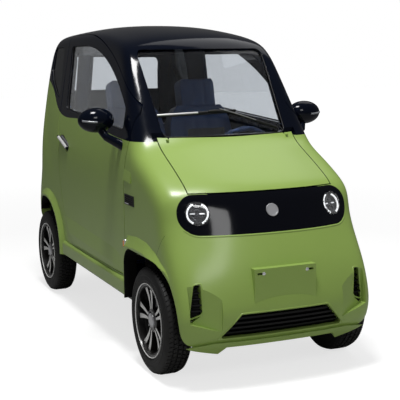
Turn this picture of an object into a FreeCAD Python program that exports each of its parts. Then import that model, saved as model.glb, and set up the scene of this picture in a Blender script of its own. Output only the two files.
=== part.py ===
import FreeCAD
import Part
import Sketcher
import math
import os
import re

Vector = FreeCAD.Vector

# Driving sizes in millimetres. The car's nose faces -Y, +X is its left, Z is up from the ground.
SIZES = {
    "wheelbase": 1814,
    "axle_shift": 18.4,
    "nose_reach": 390,
    "tail_reach": 356,
    "ground_clearance": 140,
    "roof_height": 1620,
    "header_height": 1500,
    "cowl_height": 1045,
    "bonnet_edge_height": 856,
    "cowl_setback": 190,
    "header_setback": 540,
    "half_width": 491,
    "belt_half_width": 468,
    "roof_half_width": 386,
    "belt_height": 1050,
    "belt_rise": 104,
    "wall": 42,
    "skin": 22,
    "glass_depth": 9,
    "glass_thickness": 5,
    "shut_gap": 5,
    "fit_gap": 0.3,
    "tyre_radius": 250,
    "tyre_width": 131,
    "wheel_centre": 448,
    "rim_radius": 172,
    "rim_seat_radius": 152,
    "rim_wall": 6,
    "hub_face": 441,
    "hub_radius": 50,
    "spoke_pairs": 5,
    "spoke_angle": 12.4,
    "pair_angle": 26,
    "spoke_depth": 14,
    "dish_front": 490,
    "bead_inset": 9,
    "arch_top": 292,
    "flare_stand": 22,
    "flare_land": 12,
    "flare_width": 52,
    "flare_root": 20,
    "flare_fade_start": 60,
    "flare_fade_end": 245,
    "sill_stand": 16,
    "sill_top": 372,
    "sill_round": 18,
    "door_band_stand": 9,
    "door_band_low": 392,
    "door_band_edge": 412,
    "door_band_rise": 34,
    "door_band_fade": 115,
    "crease_stand": 6,
    "crease_front_height": 853,
    "crease_middle_height": 905,
    "crease_rear_height": 1003,
    "crease_fade": 62,
    "front_arch_reach": 300,
    "rear_arch_reach": 305,
    "rear_arch_top": 345,
    "door_front": 363,
    "door_belt_front": 315,
    "door_rear": -235,
    "door_bottom": 385,
    "door_sweep": 105,
    "door_corner": 18,
    "sill_bottom": 285,
    "frame_arc_radius": 1300,
    "frame_arc_centre": 1251,
    "frame_arc_foot": 1194,
    "frame_top": 1567,
    "frame_width": 58,
    "window_front": 428,
    "window_sill": 1088,
    "hinge_inset": 14,
    "hinge_setback": 50,
    "hinge_pin_radius": 4,
    "hinge_eye_radius": 8,
    "hinge_low": 480,
    "hinge_high": 820,
    "hinge_arm_height": 24,
    "screen_bottom": 1062,
    "screen_top": 1480,
    "screen_bottom_half": 328,
    "screen_top_half": 348,
    "rear_window_bottom": 1060,
    "rear_window_top": 1450,
    "rear_window_half": 332,
    "bonnet_hinge_offset": 300,
    "bonnet_hinge_depth": 10,
    "bonnet_hinge_setback": 8,
    "tailgate_hinge_offset": 200,
    "lid_eye_radius": 7,
    "lid_pin_radius": 3.5,
    "lid_eye_width": 12,
    "cowl_trough": 16,
    "tail_lamp_offset": 437,
    "tail_lamp_radius": 44,
    "tail_lamp_height": 850,
    "tailgate_half": 384,
    "tailgate_top_half": 362,
    "tailgate_bottom": 655,
    "tailgate_top": 1530,
    "bonnet_half": 360,
    "bonnet_crown": 48,
    "lamp_panel_half": 426,
    "lamp_panel_bottom": 668,
    "lamp_panel_top": 838,
    "lamp_offset": 339,
    "lamp_height": 760,
    "lamp_radius": 52,
    "bumper_split": 700,
    "rear_bumper_top": 620,
    "grille_bottom": 226,
    "grille_top": 334,
    "grille_bottom_half": 313,
    "grille_top_half": 213,
    "plate_half": 152,
    "plate_bottom": 379,
    "plate_top": 527,
    "plate_stand": 14,
    "plate_slot_offset": 119,
    "plate_slot_drop": 22,
    "plate_slot_length": 40,
    "plate_slot_radius": 4.5,
    "floor_height": 235,
    "floor_thickness": 20,
    "floor_half": 430,
    "front_floor_half": 225,
    "rear_floor_height": 430,
    "rear_floor_half": 340,
    "rear_floor_reach": 242,
    "rear_step_reach": 340,
    "front_floor_reach": 300,
    "inner_wall_reach": 190,
    "bulkhead_height": 700,
    "spring_offset": 290,
    "bulkhead_setback": 330,
    "battery_half": 300,
    "battery_length": 900,
    "battery_height": 85,
    "axle_beam_radius": 32,
    "motor_width": 230,
    "motor_length": 260,
    "motor_height": 190,
    "kingpin_foot": 400,
    "kingpin_lean": 75,
    "kingpin_bottom": 180,
    "kingpin_top": 640,
    "strut_radius": 18,
    "spindle_radius": 20,
    "seat_width": 400,
    "seat_offset": 205,
    "seat_height": 510,
    "seat_front": 560,
    "seat_depth": 430,
    "seat_back_thickness": 110,
    "seat_recline": 12,
    "seat_top": 1320,
    "steering_wheel_radius": 168,
    "steering_wheel_rim": 13,
    "steering_wheel_setback": 525,
    "steering_wheel_height": 920,
    "steering_wheel_offset": 210,
    "steering_wheel_tilt": 28,
    "mirror_offset": 577,
    "mirror_half_length": 91,
    "mirror_half_height": 61,
    "mirror_height": 1140,
    "mirror_setback": 497,
    "mirror_arm_foot": 26,
    "mirror_arm_neck": 19,
    "handle_depth": 12,
    "handle_bar_radius": 8,
    "trim_front": 212,
    "trim_rear": 346,
    "trim_bottom": 743,
    "trim_top": 793,
    "trim_depth": 10,
    "trim_fins": 4,
    "marker_setback": 317,
    "marker_bottom": 538,
    "marker_height": 30,
    "marker_width": 14,
    "recess_depth": 16,
    "recess_start": 300,
    "recess_top": 474,
    "grille_bars": 4,
    "grille_bar_height": 9,
    "vent_fins": 6,
    "vent_fin_height": 6,
    "lip_stand": 12,
    "lip_top": 208,
    "lip_notch_half": 267,
    "lip_notch_height": 182,
    "column_radius": 22,
}

document = FreeCAD.newDocument("microcar")
sheet = document.addObject("Spreadsheet::Sheet", "sizes")
for row, (alias, value) in enumerate(SIZES.items(), start=1):
    sheet.set("A%d" % row, alias)
    sheet.set("B%d" % row, str(value))
    sheet.setAlias("B%d" % row, alias)
document.recompute()

nodes = []


def size(alias):
    return float(sheet.get(alias))


# A value together with the expression that binds it to the sheet.
class Measure:
    def __init__(self, value, text):
        self.value = value
        self.text = text

    def __add__(self, other):
        return Measure(self.value + measure(other).value, "(%s + %s)" % (self.text, measure(other).text))

    def __sub__(self, other):
        return Measure(self.value - measure(other).value, "(%s - %s)" % (self.text, measure(other).text))

    def __mul__(self, other):
        return Measure(self.value * measure(other).value, "(%s * %s)" % (self.text, measure(other).text))

    def __truediv__(self, other):
        return Measure(self.value / measure(other).value, "(%s / %s)" % (self.text, measure(other).text))

    def __neg__(self):
        return Measure(-self.value, "(0 - %s)" % self.text)


def measure(number):
    return number if isinstance(number, Measure) else Measure(number, repr(float(number)))


def cell(alias):
    return Measure(size(alias), "sizes." + alias)


def block(name, x0, x1, y0, y1, z0, z1):
    item = document.addObject("Part::Box", name)
    for side, low, high in (("Length", x0, x1), ("Width", y0, y1), ("Height", z0, z1)):
        item.setExpression(side, (measure(high) - low).text)
    for axis, low in (("x", x0), ("y", y0), ("z", z0)):
        item.setExpression("Placement.Base." + axis, measure(low).text)
    return item


def bar(name, radius, length, start, direction):
    item = document.addObject("Part::Cylinder", name)
    item.Placement = FreeCAD.Placement(Vector(), FreeCAD.Rotation(Vector(0, 0, 1), direction))
    item.setExpression("Radius", measure(radius).text)
    item.setExpression("Height", measure(length).text)
    for axis, low in zip("xyz", start):
        item.setExpression("Placement.Base." + axis, measure(low).text)
    return item


def joined(name, pieces):
    item = document.addObject("Part::MultiFuse", name)
    item.Shapes = pieces
    item.Refine = True
    return item


def other_side(name, source):
    item = document.addObject("Part::Mirroring", name)
    item.Source = source
    item.Normal = Vector(1, 0, 0)
    return item


def keep(item):
    item.Label = item.Name
    nodes.append(item)
    return item


front_axle_y = size("axle_shift") - size("wheelbase") / 2
rear_axle_y = size("axle_shift") + size("wheelbase") / 2
ground = size("ground_clearance")
gap = size("shut_gap")
fit = size("fit_gap")
far = 3000


def from_front(distance):
    return front_axle_y + distance


def from_rear(distance):
    return rear_axle_y + distance


def add_node(name, shape):
    if len(shape.Solids) == 1:
        shape = shape.Solids[0]
    holder = document.addObject("Part::Feature", name)
    holder.Label = name
    holder.Shape = shape
    nodes.append(holder)
    return holder


def mirrored(shape):
    return shape.mirror(Vector(0, 0, 0), Vector(1, 0, 0))


def add_pair(name, shape):
    add_node(name + "_left", shape)
    add_node(name + "_right", mirrored(shape))


def box(x0, x1, y0, y1, z0, z1):
    return Part.makeBox(x1 - x0, y1 - y0, z1 - z0, Vector(x0, y0, z0))


def cylinder_x(radius, x0, x1, y, z):
    return Part.makeCylinder(radius, x1 - x0, Vector(x0, y, z), Vector(1, 0, 0))


def cylinder_y(radius, y0, y1, x, z):
    return Part.makeCylinder(radius, y1 - y0, Vector(x, y0, z), Vector(0, 1, 0))


def cylinder_z(radius, z0, z1, x, y):
    return Part.makeCylinder(radius, z1 - z0, Vector(x, y, z0))


def rod(radius, start, end):
    return Part.makeCylinder(radius, (end - start).Length, start, end - start)


def rounded(solid, direction, radius):
    axis = Vector(*direction)
    edges = []
    for edge in solid.Edges:
        if isinstance(edge.Curve, Part.Line) and abs(edge.tangentAt(edge.FirstParameter).dot(axis)) > 0.999:
            edges.append(edge)
    return solid.makeFillet(radius, edges)


def prism_x(outline, x0, x1, radius=0):
    points = [Vector(x0, y, z) for y, z in outline]
    face = Part.Face(Part.makePolygon(points + points[:1]))
    solid = face.extrude(Vector(x1 - x0, 0, 0))
    return rounded(solid, (1, 0, 0), radius) if radius else solid


def prism_y(outline, y0, y1, radius=0):
    points = [Vector(x, y0, z) for x, z in outline]
    face = Part.Face(Part.makePolygon(points + points[:1]))
    solid = face.extrude(Vector(0, y1 - y0, 0))
    return rounded(solid, (0, 1, 0), radius) if radius else solid


def prism_z(outline, z0, z1, radius=0):
    points = [Vector(x, y, z0) for x, y in outline]
    face = Part.Face(Part.makePolygon(points + points[:1]))
    solid = face.extrude(Vector(0, 0, z1 - z0))
    return rounded(solid, (0, 0, 1), radius) if radius else solid


def symmetric(right_side):
    return right_side + [(-x, other) for x, other in reversed(right_side)]


# Body form

# The half width of the side at a height: upright below the belt, leaning in above it.
def side_width(height, inset):
    levels = [
        (ground, size("half_width") - 3),
        (size("belt_height") - 150, size("half_width")),
        (size("belt_height") - 70, size("half_width") - 2),
        (size("belt_height") + 10, size("belt_half_width")),
        (size("header_height"), size("roof_half_width") + 16),
        (size("roof_height"), size("roof_half_width")),
    ]
    for (low, low_width), (high, high_width) in zip(levels, levels[1:]):
        if height <= high:
            share = max(0, (height - low) / (high - low))
            return low_width + share * (high_width - low_width) - inset
    return levels[-1][1] - inset


# Control stations along the middle of the car, from under the nose over the roof to under the tail.
# Each holds the point (y, z), the half width of its flat part, how far the surface has fallen there,
# and how softly it then rolls into the side.
def body_stations():
    nose = size("nose_reach")
    tail = size("tail_reach")
    edge = size("bonnet_edge_height")
    cowl = size("cowl_height")
    cowl_y = size("cowl_setback")
    header = size("header_height")
    header_y = size("header_setback")
    roof = size("roof_height")
    belt = size("belt_height")
    front = [
        (90 - nose, ground, 400, 55, 105),
        (42 - nose, ground + 60, 400, 50, 105),
        (0 - nose, ground + 150, 410, 50, 105),
        (10 - nose, ground + 250, 410, 55, 105),
        (40 - nose, edge - 340, 400, 66, 115),
        (95 - nose, edge - 205, 375, 88, 120),
        (146 - nose, edge - 86, 365, 98, 120),
        (194 - nose, edge, 365, 60, 110),
        (295 - nose, edge + 52, 365, 45, 105),
        (cowl_y - 130, cowl - 60, 360, 42, 100),
        (cowl_y - 10, cowl - 5, 355, 42, 95),
        (cowl_y + 45, cowl + 60, 345, 42, 80),
        (header_y - 210, header - 268, 345, 38, 75),
        (header_y - 110, header - 138, 345, 34, 70),
        (header_y, header, 345, 26, 65),
        (header_y + 120, header + 60, 345, 34, 60),
        (header_y + 460, roof - 8, 335, 44, 55),
    ]
    rear = [
        (-500, roof, 335, 46, 55),
        (-110, roof - 14, 335, 46, 60),
        (tail - 296, roof - 30, 335, 40, 65),
        (tail - 206, roof - 115, 345, 36, 70),
        (tail - 151, belt + 250, 360, 40, 85),
        (tail - 114, belt - 50, 390, 55, 115),
        (tail - 94, belt - 260, 390, 60, 120),
        (tail - 26, belt - 380, 400, 60, 115),
        (tail - 2, ground + 320, 410, 60, 115),
        (tail - 16, ground + 110, 410, 60, 110),
        (tail - 66, ground, 410, 60, 105),
    ]
    stations = [(from_front(y), z, flat, fall, roll) for y, z, flat, fall, roll in front]
    return stations + [(from_rear(y), z, flat, fall, roll) for y, z, flat, fall, roll in rear]


# One station's control points lie in a plane through a line under the car, from the middle to the side.
def station_row(station, inset):
    y, z, flat, fall, roll = station
    reach = math.hypot(y, z - ground)
    toward = Vector(0, y / reach, (z - ground) / reach)
    reach -= inset
    base = Vector(0, 0, ground)
    points = []
    for x, drop in ((0, 0), (0.5 * flat, 0), (0.95 * flat, 0.6 * fall)):
        points.append(base + Vector(x, 0, 0) + toward * (reach - drop))
    shoulder = base + toward * (reach - fall)
    side = side_width(shoulder.z, inset)
    points.append(shoulder + Vector(flat + 0.75 * max(0, side - flat), 0, 0))
    leg = reach - fall - 1.4 * roll
    distances = [reach - fall - 0.55 * roll, leg]
    distances += [leg * (1 - (index + 1) / 7) for index in range(7)]
    for distance in distances:
        level = base + toward * distance
        points.append(level + Vector(side_width(level.z, inset), 0, 0))
    return points


def clamped_knots(count, degree):
    spans = count - degree
    knots = [float(index) for index in range(spans + 1)]
    return knots, [degree + 1] + [1] * (spans - 1) + [degree + 1]


# The closed body volume, drawn in by an inset. Differences of two of these give skins and walls.
def body_volume(inset):
    rows = [station_row(station, inset) for station in body_stations()]
    surface = Part.BSplineSurface()
    along, along_counts = clamped_knots(len(rows), 3)
    across, across_counts = clamped_knots(len(rows[0]), 3)
    surface.buildFromPolesMultsKnots(rows, along_counts, across_counts, along, across, False, False, 3, 3)
    left = surface.toShape()
    right = mirrored(left)
    rim = []
    for edge in left.Edges + right.Edges:
        if not edge.Degenerated and edge.BoundBox.ZMax < ground + 0.01:
            rim.append(edge)
    bottom = Part.Face(Part.Wire(Part.__sortEdges__(rim)))
    shell = Part.makeShell([left, right, bottom])
    shell.sewShape()
    solid = Part.Solid(Part.Shell(shell.Faces))
    if solid.Volume < 0:
        solid.reverse()
    return solid


outer = body_volume(0)
wall_shell = outer.cut(body_volume(size("wall")))
skin_shell = outer.cut(body_volume(size("skin")))
glass_outer = body_volume(size("glass_depth"))
glass_shell = glass_outer.cut(body_volume(size("glass_depth") + size("glass_thickness")))

# Wheel openings


def front_opening(margin, x0, x1):
    reach = size("front_arch_reach") + margin
    top = size("arch_top") + margin
    centre = size("tyre_radius")
    outline = [
        (from_front(320 + margin), 0),
        (from_front(320 + margin), centre + top),
        (from_front(-reach), centre + top),
        (from_front(-reach), 0),
    ]
    square = prism_x(outline, x0, x1)
    edges = []
    for edge in square.Edges:
        middle = edge.CenterOfMass
        if abs(middle.x - (x0 + x1) / 2) < 1 and middle.z > centre:
            edges.append((edge, middle.y))
    square = square.makeFillet(90, [edge for edge, y in edges if y > front_axle_y])
    edges = []
    for edge in square.Edges:
        middle = edge.CenterOfMass
        flat = isinstance(edge.Curve, Part.Line)
        if flat and abs(middle.x - (x0 + x1) / 2) < 1 and middle.z > centre and middle.y < from_front(-200):
            edges.append(edge)
    return square.makeFillet(top - 10, edges)


def rear_opening(margin, x0, x1):
    reach = size("rear_arch_reach") + margin
    top = size("rear_arch_top") + margin
    centre = size("tyre_radius")
    outline = [
        (from_rear(reach), 0),
        (from_rear(reach), centre + top),
        (from_rear(-reach), centre + top),
        (from_rear(-reach), 0),
    ]
    square = prism_x(outline, x0, x1)
    edges = []
    for edge in square.Edges:
        middle = edge.CenterOfMass
        if abs(middle.x - (x0 + x1) / 2) < 1 and middle.z > centre:
            edges.append(edge)
    return square.makeFillet(reach - 10, edges)


wheel_inside = size("wheel_centre") - size("tyre_width")
front_wells = front_opening(0, wheel_inside - 70, 700)
rear_wells = rear_opening(0, wheel_inside + 20, 700)

# A solid between two outlines of as many corners, each standing at its own distance from the middle.
def ruled(outline_a, x_a, outline_b, x_b):
    wires = []
    for outline, x in ((outline_a, x_a), (outline_b, x_b)):
        points = [Vector(x, y, z) for y, z in outline]
        wires.append(Part.makePolygon(points + points[:1]))
    return Part.makeLoft(wires, True, True)


# Takes off what stands out beyond a slanting plane, so that a flare fades where the body curves in.
def faded(solid, fade_start, fade_end):
    stand = size("half_width") + size("flare_stand")
    low = size("half_width") - 10
    outline = [(stand, fade_start), (low, fade_end), (low, math.copysign(far, fade_end - fade_start)),
               (700, math.copysign(far, fade_end - fade_start)), (700, fade_start)]
    return solid.cut(prism_z(outline, 0, far))


# The band round the front opening is broad on top and narrow beside the door.
def front_flare():
    low = size("sill_bottom")
    top = size("tyre_radius") + size("arch_top")
    width = size("flare_width")
    root = size("half_width") - size("flare_root")
    base = size("half_width") - 4
    crest = size("half_width") + size("flare_stand")
    outer_band = [
        (338, low), (338, top + 0.6 * width), (320, top + 1.1 * width), (186, top + 1.35 * width),
        (60, top + 1.25 * width), (-56, top + 0.65 * width), (-179, top - 0.5 * width),
        (-250, top - 2 * width), (-250, low),
    ]
    land = size("flare_land")
    inner_band = [
        (324, low), (324, top - 30), (306, top + land - 10), (180, top + land), (58, top + land - 2),
        (-50, top + land - 16), (-155, top + land - 62), (-225, top - 150), (-225, low),
    ]
    outer_band = [(from_front(y), z) for y, z in outer_band]
    inner_band = [(from_front(y), z) for y, z in inner_band]
    solid = prism_x(outer_band, root, base).fuse(ruled(outer_band, base, inner_band, crest))
    return faded(solid, from_front(-size("flare_fade_start")), from_front(-size("flare_fade_end"))).cut(front_wells)


def rear_flare():
    reach = size("rear_arch_reach")
    centre = Vector(0, rear_axle_y, size("tyre_radius") + size("rear_arch_top") - reach)
    root = size("half_width") - size("flare_root")
    base = size("half_width") - 4
    crest = size("half_width") + size("flare_stand")
    wide = reach + size("flare_width")
    solid = Part.makeCylinder(wide, base - root, centre + Vector(root, 0, 0), Vector(1, 0, 0))
    solid = solid.fuse(Part.makeCone(wide, reach + size("flare_land"), crest - base,
                                     centre + Vector(base, 0, 0), Vector(1, 0, 0)))
    solid = solid.cut(box(0, 700, -far, far, -far, size("sill_bottom")))
    return faded(solid, from_rear(size("flare_fade_start")), from_rear(size("flare_fade_end"))).cut(rear_wells)


# A ledge along the side: an upright edge below, fading into the panel above.
def side_ledge(sections, stand, fade):
    wires = []
    for y, z in sections:
        low = side_width(z, 0)
        points = [
            Vector(low - 9, y, z - 3), Vector(low + stand, y, z), Vector(side_width(z + fade, 0) - 2, y, z + fade),
            Vector(low - 9, y, z + fade),
        ]
        wires.append(Part.makePolygon(points + points[:1]))
    return Part.makeLoft(wires, True, True)


def shoulder_ledge():
    sections = [
        (from_front(250), size("crease_front_height")), (from_front(size("door_front") + 130), size("crease_front_height") + 12),
        (from_rear(-400), size("crease_middle_height") + 22), (from_rear(-150), size("crease_rear_height") - 26),
        (from_rear(130), size("crease_rear_height")),
    ]
    return side_ledge(sections, size("crease_stand"), size("crease_fade"))


# The lower door stands out towards its foot, more so at the rear.
def door_band():
    wires = []
    start = from_front(size("door_front") + 26)
    end = from_rear(-330)
    for y, share in ((start, 0.15), (start + 150, 0.8), (end, 1)):
        stand = size("half_width") + size("door_band_stand") * share - 2
        edge = size("door_band_edge") + size("door_band_rise") * (y - start) / (end - start)
        points = [
            Vector(size("half_width") - 20, y, size("door_bottom") - 1), Vector(stand - 4, y, size("door_bottom") - 1),
            Vector(stand, y, size("door_band_low")), Vector(stand, y, edge),
            Vector(size("half_width") - 5, y, edge + size("door_band_fade")),
            Vector(size("half_width") - 20, y, edge + size("door_band_fade")),
        ]
        wires.append(Part.makePolygon(points + points[:1]))
    return Part.makeLoft(wires, True, True)


# Side panels


# Where the door frame's long arc stands at a height, as a distance behind the front axle.
def frame_arc_distance(height, radius):
    rise = height - size("frame_top") + size("frame_arc_radius")
    return size("frame_arc_centre") - math.sqrt(radius ** 2 - rise ** 2)


# A point on the arc, at a distance behind the front axle.
def frame_arc_point(x, distance, radius):
    centre_z = size("frame_top") - size("frame_arc_radius")
    rise = math.sqrt(radius ** 2 - (size("frame_arc_centre") - distance) ** 2)
    return Vector(x, from_front(distance), centre_z + rise)


# An outline with one arc over its front upper corner, extruded across the car.
def arched_prism(front_point, radius, others, x0, x1, corner):
    arc_start = frame_arc_distance(size("frame_arc_foot"), radius)
    arc_end = size("frame_arc_centre")
    start = frame_arc_point(x0, arc_start, radius)
    middle = frame_arc_point(x0, (arc_start + arc_end) / 2, radius)
    end = frame_arc_point(x0, arc_end, radius)
    arc = Part.Arc(start, middle, end).toShape()
    rest = [end] + [Vector(x0, y, z) for y, z in others] + [Vector(x0, y, z) for y, z in front_point] + [start]
    face = Part.Face(Part.Wire([arc] + Part.makePolygon(rest).Edges))
    solid = face.extrude(Vector(x1 - x0, 0, 0))
    ends = [(end.y, end.z)]
    edges = []
    for edge in solid.Edges:
        if abs(abs(edge.tangentAt(edge.FirstParameter).x) - 1) > 0.001:
            continue
        place = edge.CenterOfMass
        if all(math.hypot(place.y - y, place.z - z) > 1 for y, z in ends):
            edges.append(edge)
    return solid.makeFillet(corner, edges)


def door_prism(margin, x0, x1):
    top = size("frame_top") + margin
    low = size("door_bottom") - margin
    front = from_front(size("door_front") - margin)
    belt_front = from_front(size("door_belt_front") - margin)
    rear = from_rear(size("door_rear") + margin)
    others = [
        (rear - 30, top),
        (rear, 1250),
        (rear + 10, 1040),
        (rear - 55, 720),
        (rear - 110, 560),
        (rear - 215, 455),
        (rear - 360, low),
    ]
    front_points = [(front, low), (front, 850), (belt_front, size("belt_height"))]
    radius = size("frame_arc_radius") + margin
    corner = size("door_corner") + margin
    return arched_prism(front_points, radius, others, x0, x1, corner)


def window_prism(margin, x0, x1):
    front = from_front(size("window_front")) - margin
    rear = from_rear(size("door_rear") - size("frame_width")) + margin
    top = size("frame_top") - size("frame_width") + margin
    others = [
        (rear - 30, top),
        (rear - 50, size("window_sill") + 60 - margin),
    ]
    front_points = [(front, size("window_sill") - margin)]
    radius = size("frame_arc_radius") - size("frame_width") + margin
    return arched_prism(front_points, radius, others, x0, x1, 28)


# Everything above the belt, which runs level along the door and sweeps up over the rear quarter.
def upper_prism(margin, x0, x1):
    belt = size("belt_height")
    rise = size("belt_rise")
    start = Vector(x0, from_front(-1500), belt)
    points = [
        Vector(x0, from_front(0), belt - 4),
        Vector(x0, from_front(550), belt + 5),
        Vector(x0, from_front(1250), belt + 55),
        Vector(x0, from_rear(-150), belt + rise),
        Vector(x0, from_rear(-20), belt + 200),
        Vector(x0, from_rear(120), belt + 258),
        Vector(x0, from_rear(600), belt + 262),
    ]
    points = [point + Vector(0, 0, margin) for point in points]
    curve = Part.BSplineCurve()
    curve.interpolate(points)
    edge = curve.toShape()
    start = points[0]
    end = points[-1]
    rest = Part.makePolygon([end, Vector(x0, end.y, far), Vector(x0, start.y, far), start])
    face = Part.Face(Part.Wire([edge] + rest.Edges))
    return face.extrude(Vector(x1 - x0, 0, 0))


def quarter_window_prism(margin, x0, x1):
    outline = [
        (from_rear(-175) - margin, 1200 - margin),
        (from_rear(-168) - margin, 1505 + margin),
        (from_rear(62) + margin, 1505 + margin),
        (from_rear(78) + margin, 1370),
        (from_rear(28) + margin, size("belt_height") + 250 - margin),
        (from_rear(-75), 1232 - margin),
    ]
    return prism_x(outline, x0, x1, 20)


# Front and rear openings


def tailgate_prism(margin):
    outline = symmetric([
        (size("tailgate_half") + margin, size("tailgate_bottom") - margin),
        (size("tailgate_half") + margin, size("belt_height")),
        (size("tailgate_top_half") + margin, size("tailgate_top") + margin),
    ])
    solid = prism_y(outline, from_rear(0), far, 25)
    slope = [
        (from_rear(25) - margin, size("tailgate_top") + 70), (from_rear(110) - margin, size("belt_height") + 200),
        (from_rear(110) - margin, 0), (far, 0), (far, size("tailgate_top") + 70),
    ]
    return solid.common(prism_x(slope, -far, far))


def bonnet_prism(margin):
    rear = from_front(size("cowl_setback") - 2 + margin)
    crown = size("bonnet_crown")
    half = size("bonnet_half") + margin
    low = size("bonnet_edge_height") - 12 - margin
    left = Vector(half, rear + crown, low)
    right = Vector(-half, rear + crown, low)
    middle = Vector(0, rear, low)
    edge = Part.Arc(left, middle, right).toShape()
    rest = Part.makePolygon([right, Vector(-half - 6, -far, low), Vector(half + 6, -far, low), left])
    return Part.Face(Part.Wire([edge] + rest.Edges)).extrude(Vector(0, 0, 400))


def screen_prism(margin):
    outline = symmetric([
        (size("screen_bottom_half") + margin, size("screen_bottom") - margin),
        (size("screen_top_half") + margin, size("screen_top") + margin),
    ])
    return prism_y(outline, -far, from_front(size("header_setback") + 200), 35)


def rear_window_prism(margin):
    outline = symmetric([
        (size("rear_window_half") + margin, size("rear_window_bottom") - margin),
        (size("rear_window_half") - 22 + margin, size("rear_window_top") + margin),
    ])
    return prism_y(outline, from_rear(0), far, 45)


def lamp_panel_prism(margin):
    outline = symmetric([
        (size("lamp_panel_half") + margin, size("lamp_panel_bottom") - margin),
        (size("lamp_panel_half") + margin, size("lamp_panel_top") + margin),
    ])
    radius = (size("lamp_panel_top") - size("lamp_panel_bottom")) / 2 + margin - 3
    return prism_y(outline, -far, from_front(150), radius)


def grille_prism(margin):
    outline = symmetric([
        (size("grille_bottom_half") + margin, size("grille_bottom") - margin),
        (size("grille_top_half") + margin, size("grille_top") + margin),
    ])
    return prism_y(outline, -far, from_front(0), 12)


def vent_prism(margin):
    outline = [
        (379 - margin, 340 - margin),
        (384 - margin, 474 + margin),
        (414 + margin, 468 + margin),
        (434 + margin, 294 - margin),
    ]
    return prism_y(outline, -far, from_front(-100), 8)


hinge_x = size("half_width") - size("hinge_inset")
hinge_y = from_front(size("door_front") + size("hinge_setback"))


# Ahead of the hinge the door's inner side is round about the pin, so it swings clear of the pillar.
def door_zone(margin):
    sweep = size("door_sweep") + margin
    zone = cylinder_z(sweep, 0, far, hinge_x, hinge_y)
    zone = zone.fuse([
        box(hinge_x - sweep, 700, hinge_y, far, 0, far),
        box(hinge_x - 1, 700, -far, hinge_y + 1, 0, far),
    ])
    return door_prism(margin, 250, 700).common(zone)


def cowl_zone(margin):
    half = size("bonnet_half") - 8 + margin
    return box(-half, half, from_front(100), from_front(330), 985 - margin, size("belt_height") + 12)


door_cut = door_zone(gap)
frame_room = [door_cut]
for turn in (3, 6):
    room = door_cut.common(box(0, far, hinge_y, far, size("belt_height"), far))
    room.rotate(Vector(hinge_x, hinge_y, 0), Vector(0, 0, -1), turn)
    frame_room.append(room)
frame_room += [mirrored(room) for room in frame_room]
door_body = door_zone(0)
upper = upper_prism(0, -700, 700)
upper_cut = upper_prism(fit / 2, -700, 700)
lower_cut = upper_prism(-fit / 2, -700, 700)
tailgate_cut = tailgate_prism(gap)
bonnet_cut = bonnet_prism(gap)

# Door hinges: an arm from the body reaches round the door's front edge to a pin in the door.
hinge_levels = (size("hinge_low"), size("hinge_high"))
arm_half = size("hinge_arm_height") / 2
eye = size("hinge_eye_radius")
pin = size("hinge_pin_radius")
notches = []
arms = []
pins = []
for level in hinge_levels:
    notches.append(box(
        hinge_x - 90, hinge_x + eye + 2, hinge_y - size("hinge_setback") - 20, hinge_y + eye + 6,
        level - arm_half - gap, level + arm_half + gap,
    ))
    pins.append(cylinder_z(pin, level - arm_half - gap - 5, level + arm_half + gap + 5, hinge_x, hinge_y))
    ring = cylinder_z(eye, level - arm_half, level + arm_half, hinge_x, hinge_y)
    reach = box(hinge_x - 68, hinge_x, hinge_y - 5, hinge_y + 5, level - arm_half, level + arm_half)
    post = box(
        hinge_x - 68, hinge_x - 58, hinge_y - size("hinge_setback") - 45, hinge_y + 5,
        level - arm_half, level + arm_half,
    )
    foot = box(
        hinge_x - 68, hinge_x - 20, hinge_y - size("hinge_setback") - 45, hinge_y - size("hinge_setback") - 20,
        level - arm_half, level + arm_half,
    )
    hole = cylinder_z(pin + 0.05, level - arm_half - 1, level + arm_half + 1, hinge_x, hinge_y)
    arms.append(ring.fuse([reach, post, foot]).cut(hole))

# Doors
door_shell = wall_shell.common(door_body)
ledge = shoulder_ledge().cut(upper)
handle_outline = [
    (from_rear(-504), 940), (from_rear(-440), 903), (from_rear(-230), 982), (from_rear(-336), 999),
]
handle_foot = side_width(950, size("handle_depth"))
handle_room = prism_x(handle_outline, handle_foot, 700, 22)
door_lower = door_shell.cut(upper).fuse([door_band().common(door_body), ledge.common(door_body)])
door_lower = door_lower.cut(notches[0].fuse(notches[1:])).cut(handle_room).fuse(pins).removeSplitter()
door_frame = door_shell.common(upper).cut(window_prism(0, 250, 700))
add_pair("door", door_lower)
add_pair("door_frame", door_frame)
add_pair("door_glass", glass_shell.common(window_prism(-fit, 250, 700)))

# Fenders, sills and quarters
fender_zone = box(0, far, -far, from_front(size("door_front") + 40), 0, far)
bumper_line = [
    (from_front(-far), size("bumper_split")),
    (from_front(-170), size("bumper_split")),
    (from_front(-62), size("tyre_radius") + size("arch_top") + 12),
    (from_front(-62), 0),
    (from_front(-far), 0),
]
bumper_zone = prism_x(bumper_line, -700, 700)
bonnet_zone = bonnet_prism(gap)
fender_inner = wall_shell.common(fender_zone).cut(bumper_zone).cut(lower_cut).cut(door_cut).cut(cowl_zone(fit))
fender_inner = fender_inner.cut(front_wells).cut(bonnet_zone).cut(lamp_panel_prism(fit))
fender_inner = fender_inner.cut(box(-1, far, -far, far, 0, size("sill_bottom")))
fender_inner = fender_inner.common(box(size("bonnet_half") - 80, far, -far, far, 0, far))
fender = max(fender_inner.Solids, key=lambda solid: solid.Volume)
flare = front_flare()
fender_ledge = ledge.common(box(0, far, -far, from_front(size("door_front") + 40), 0, far)).cut(door_cut)
trim_room = box(size("half_width") - size("trim_depth"), far, from_front(size("trim_front")) - fit,
                from_front(size("trim_rear")) + fit, size("trim_bottom") - fit, size("trim_top") + fit)
marker_y = from_front(size("marker_setback"))
marker_half = size("marker_width") / 2
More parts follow.
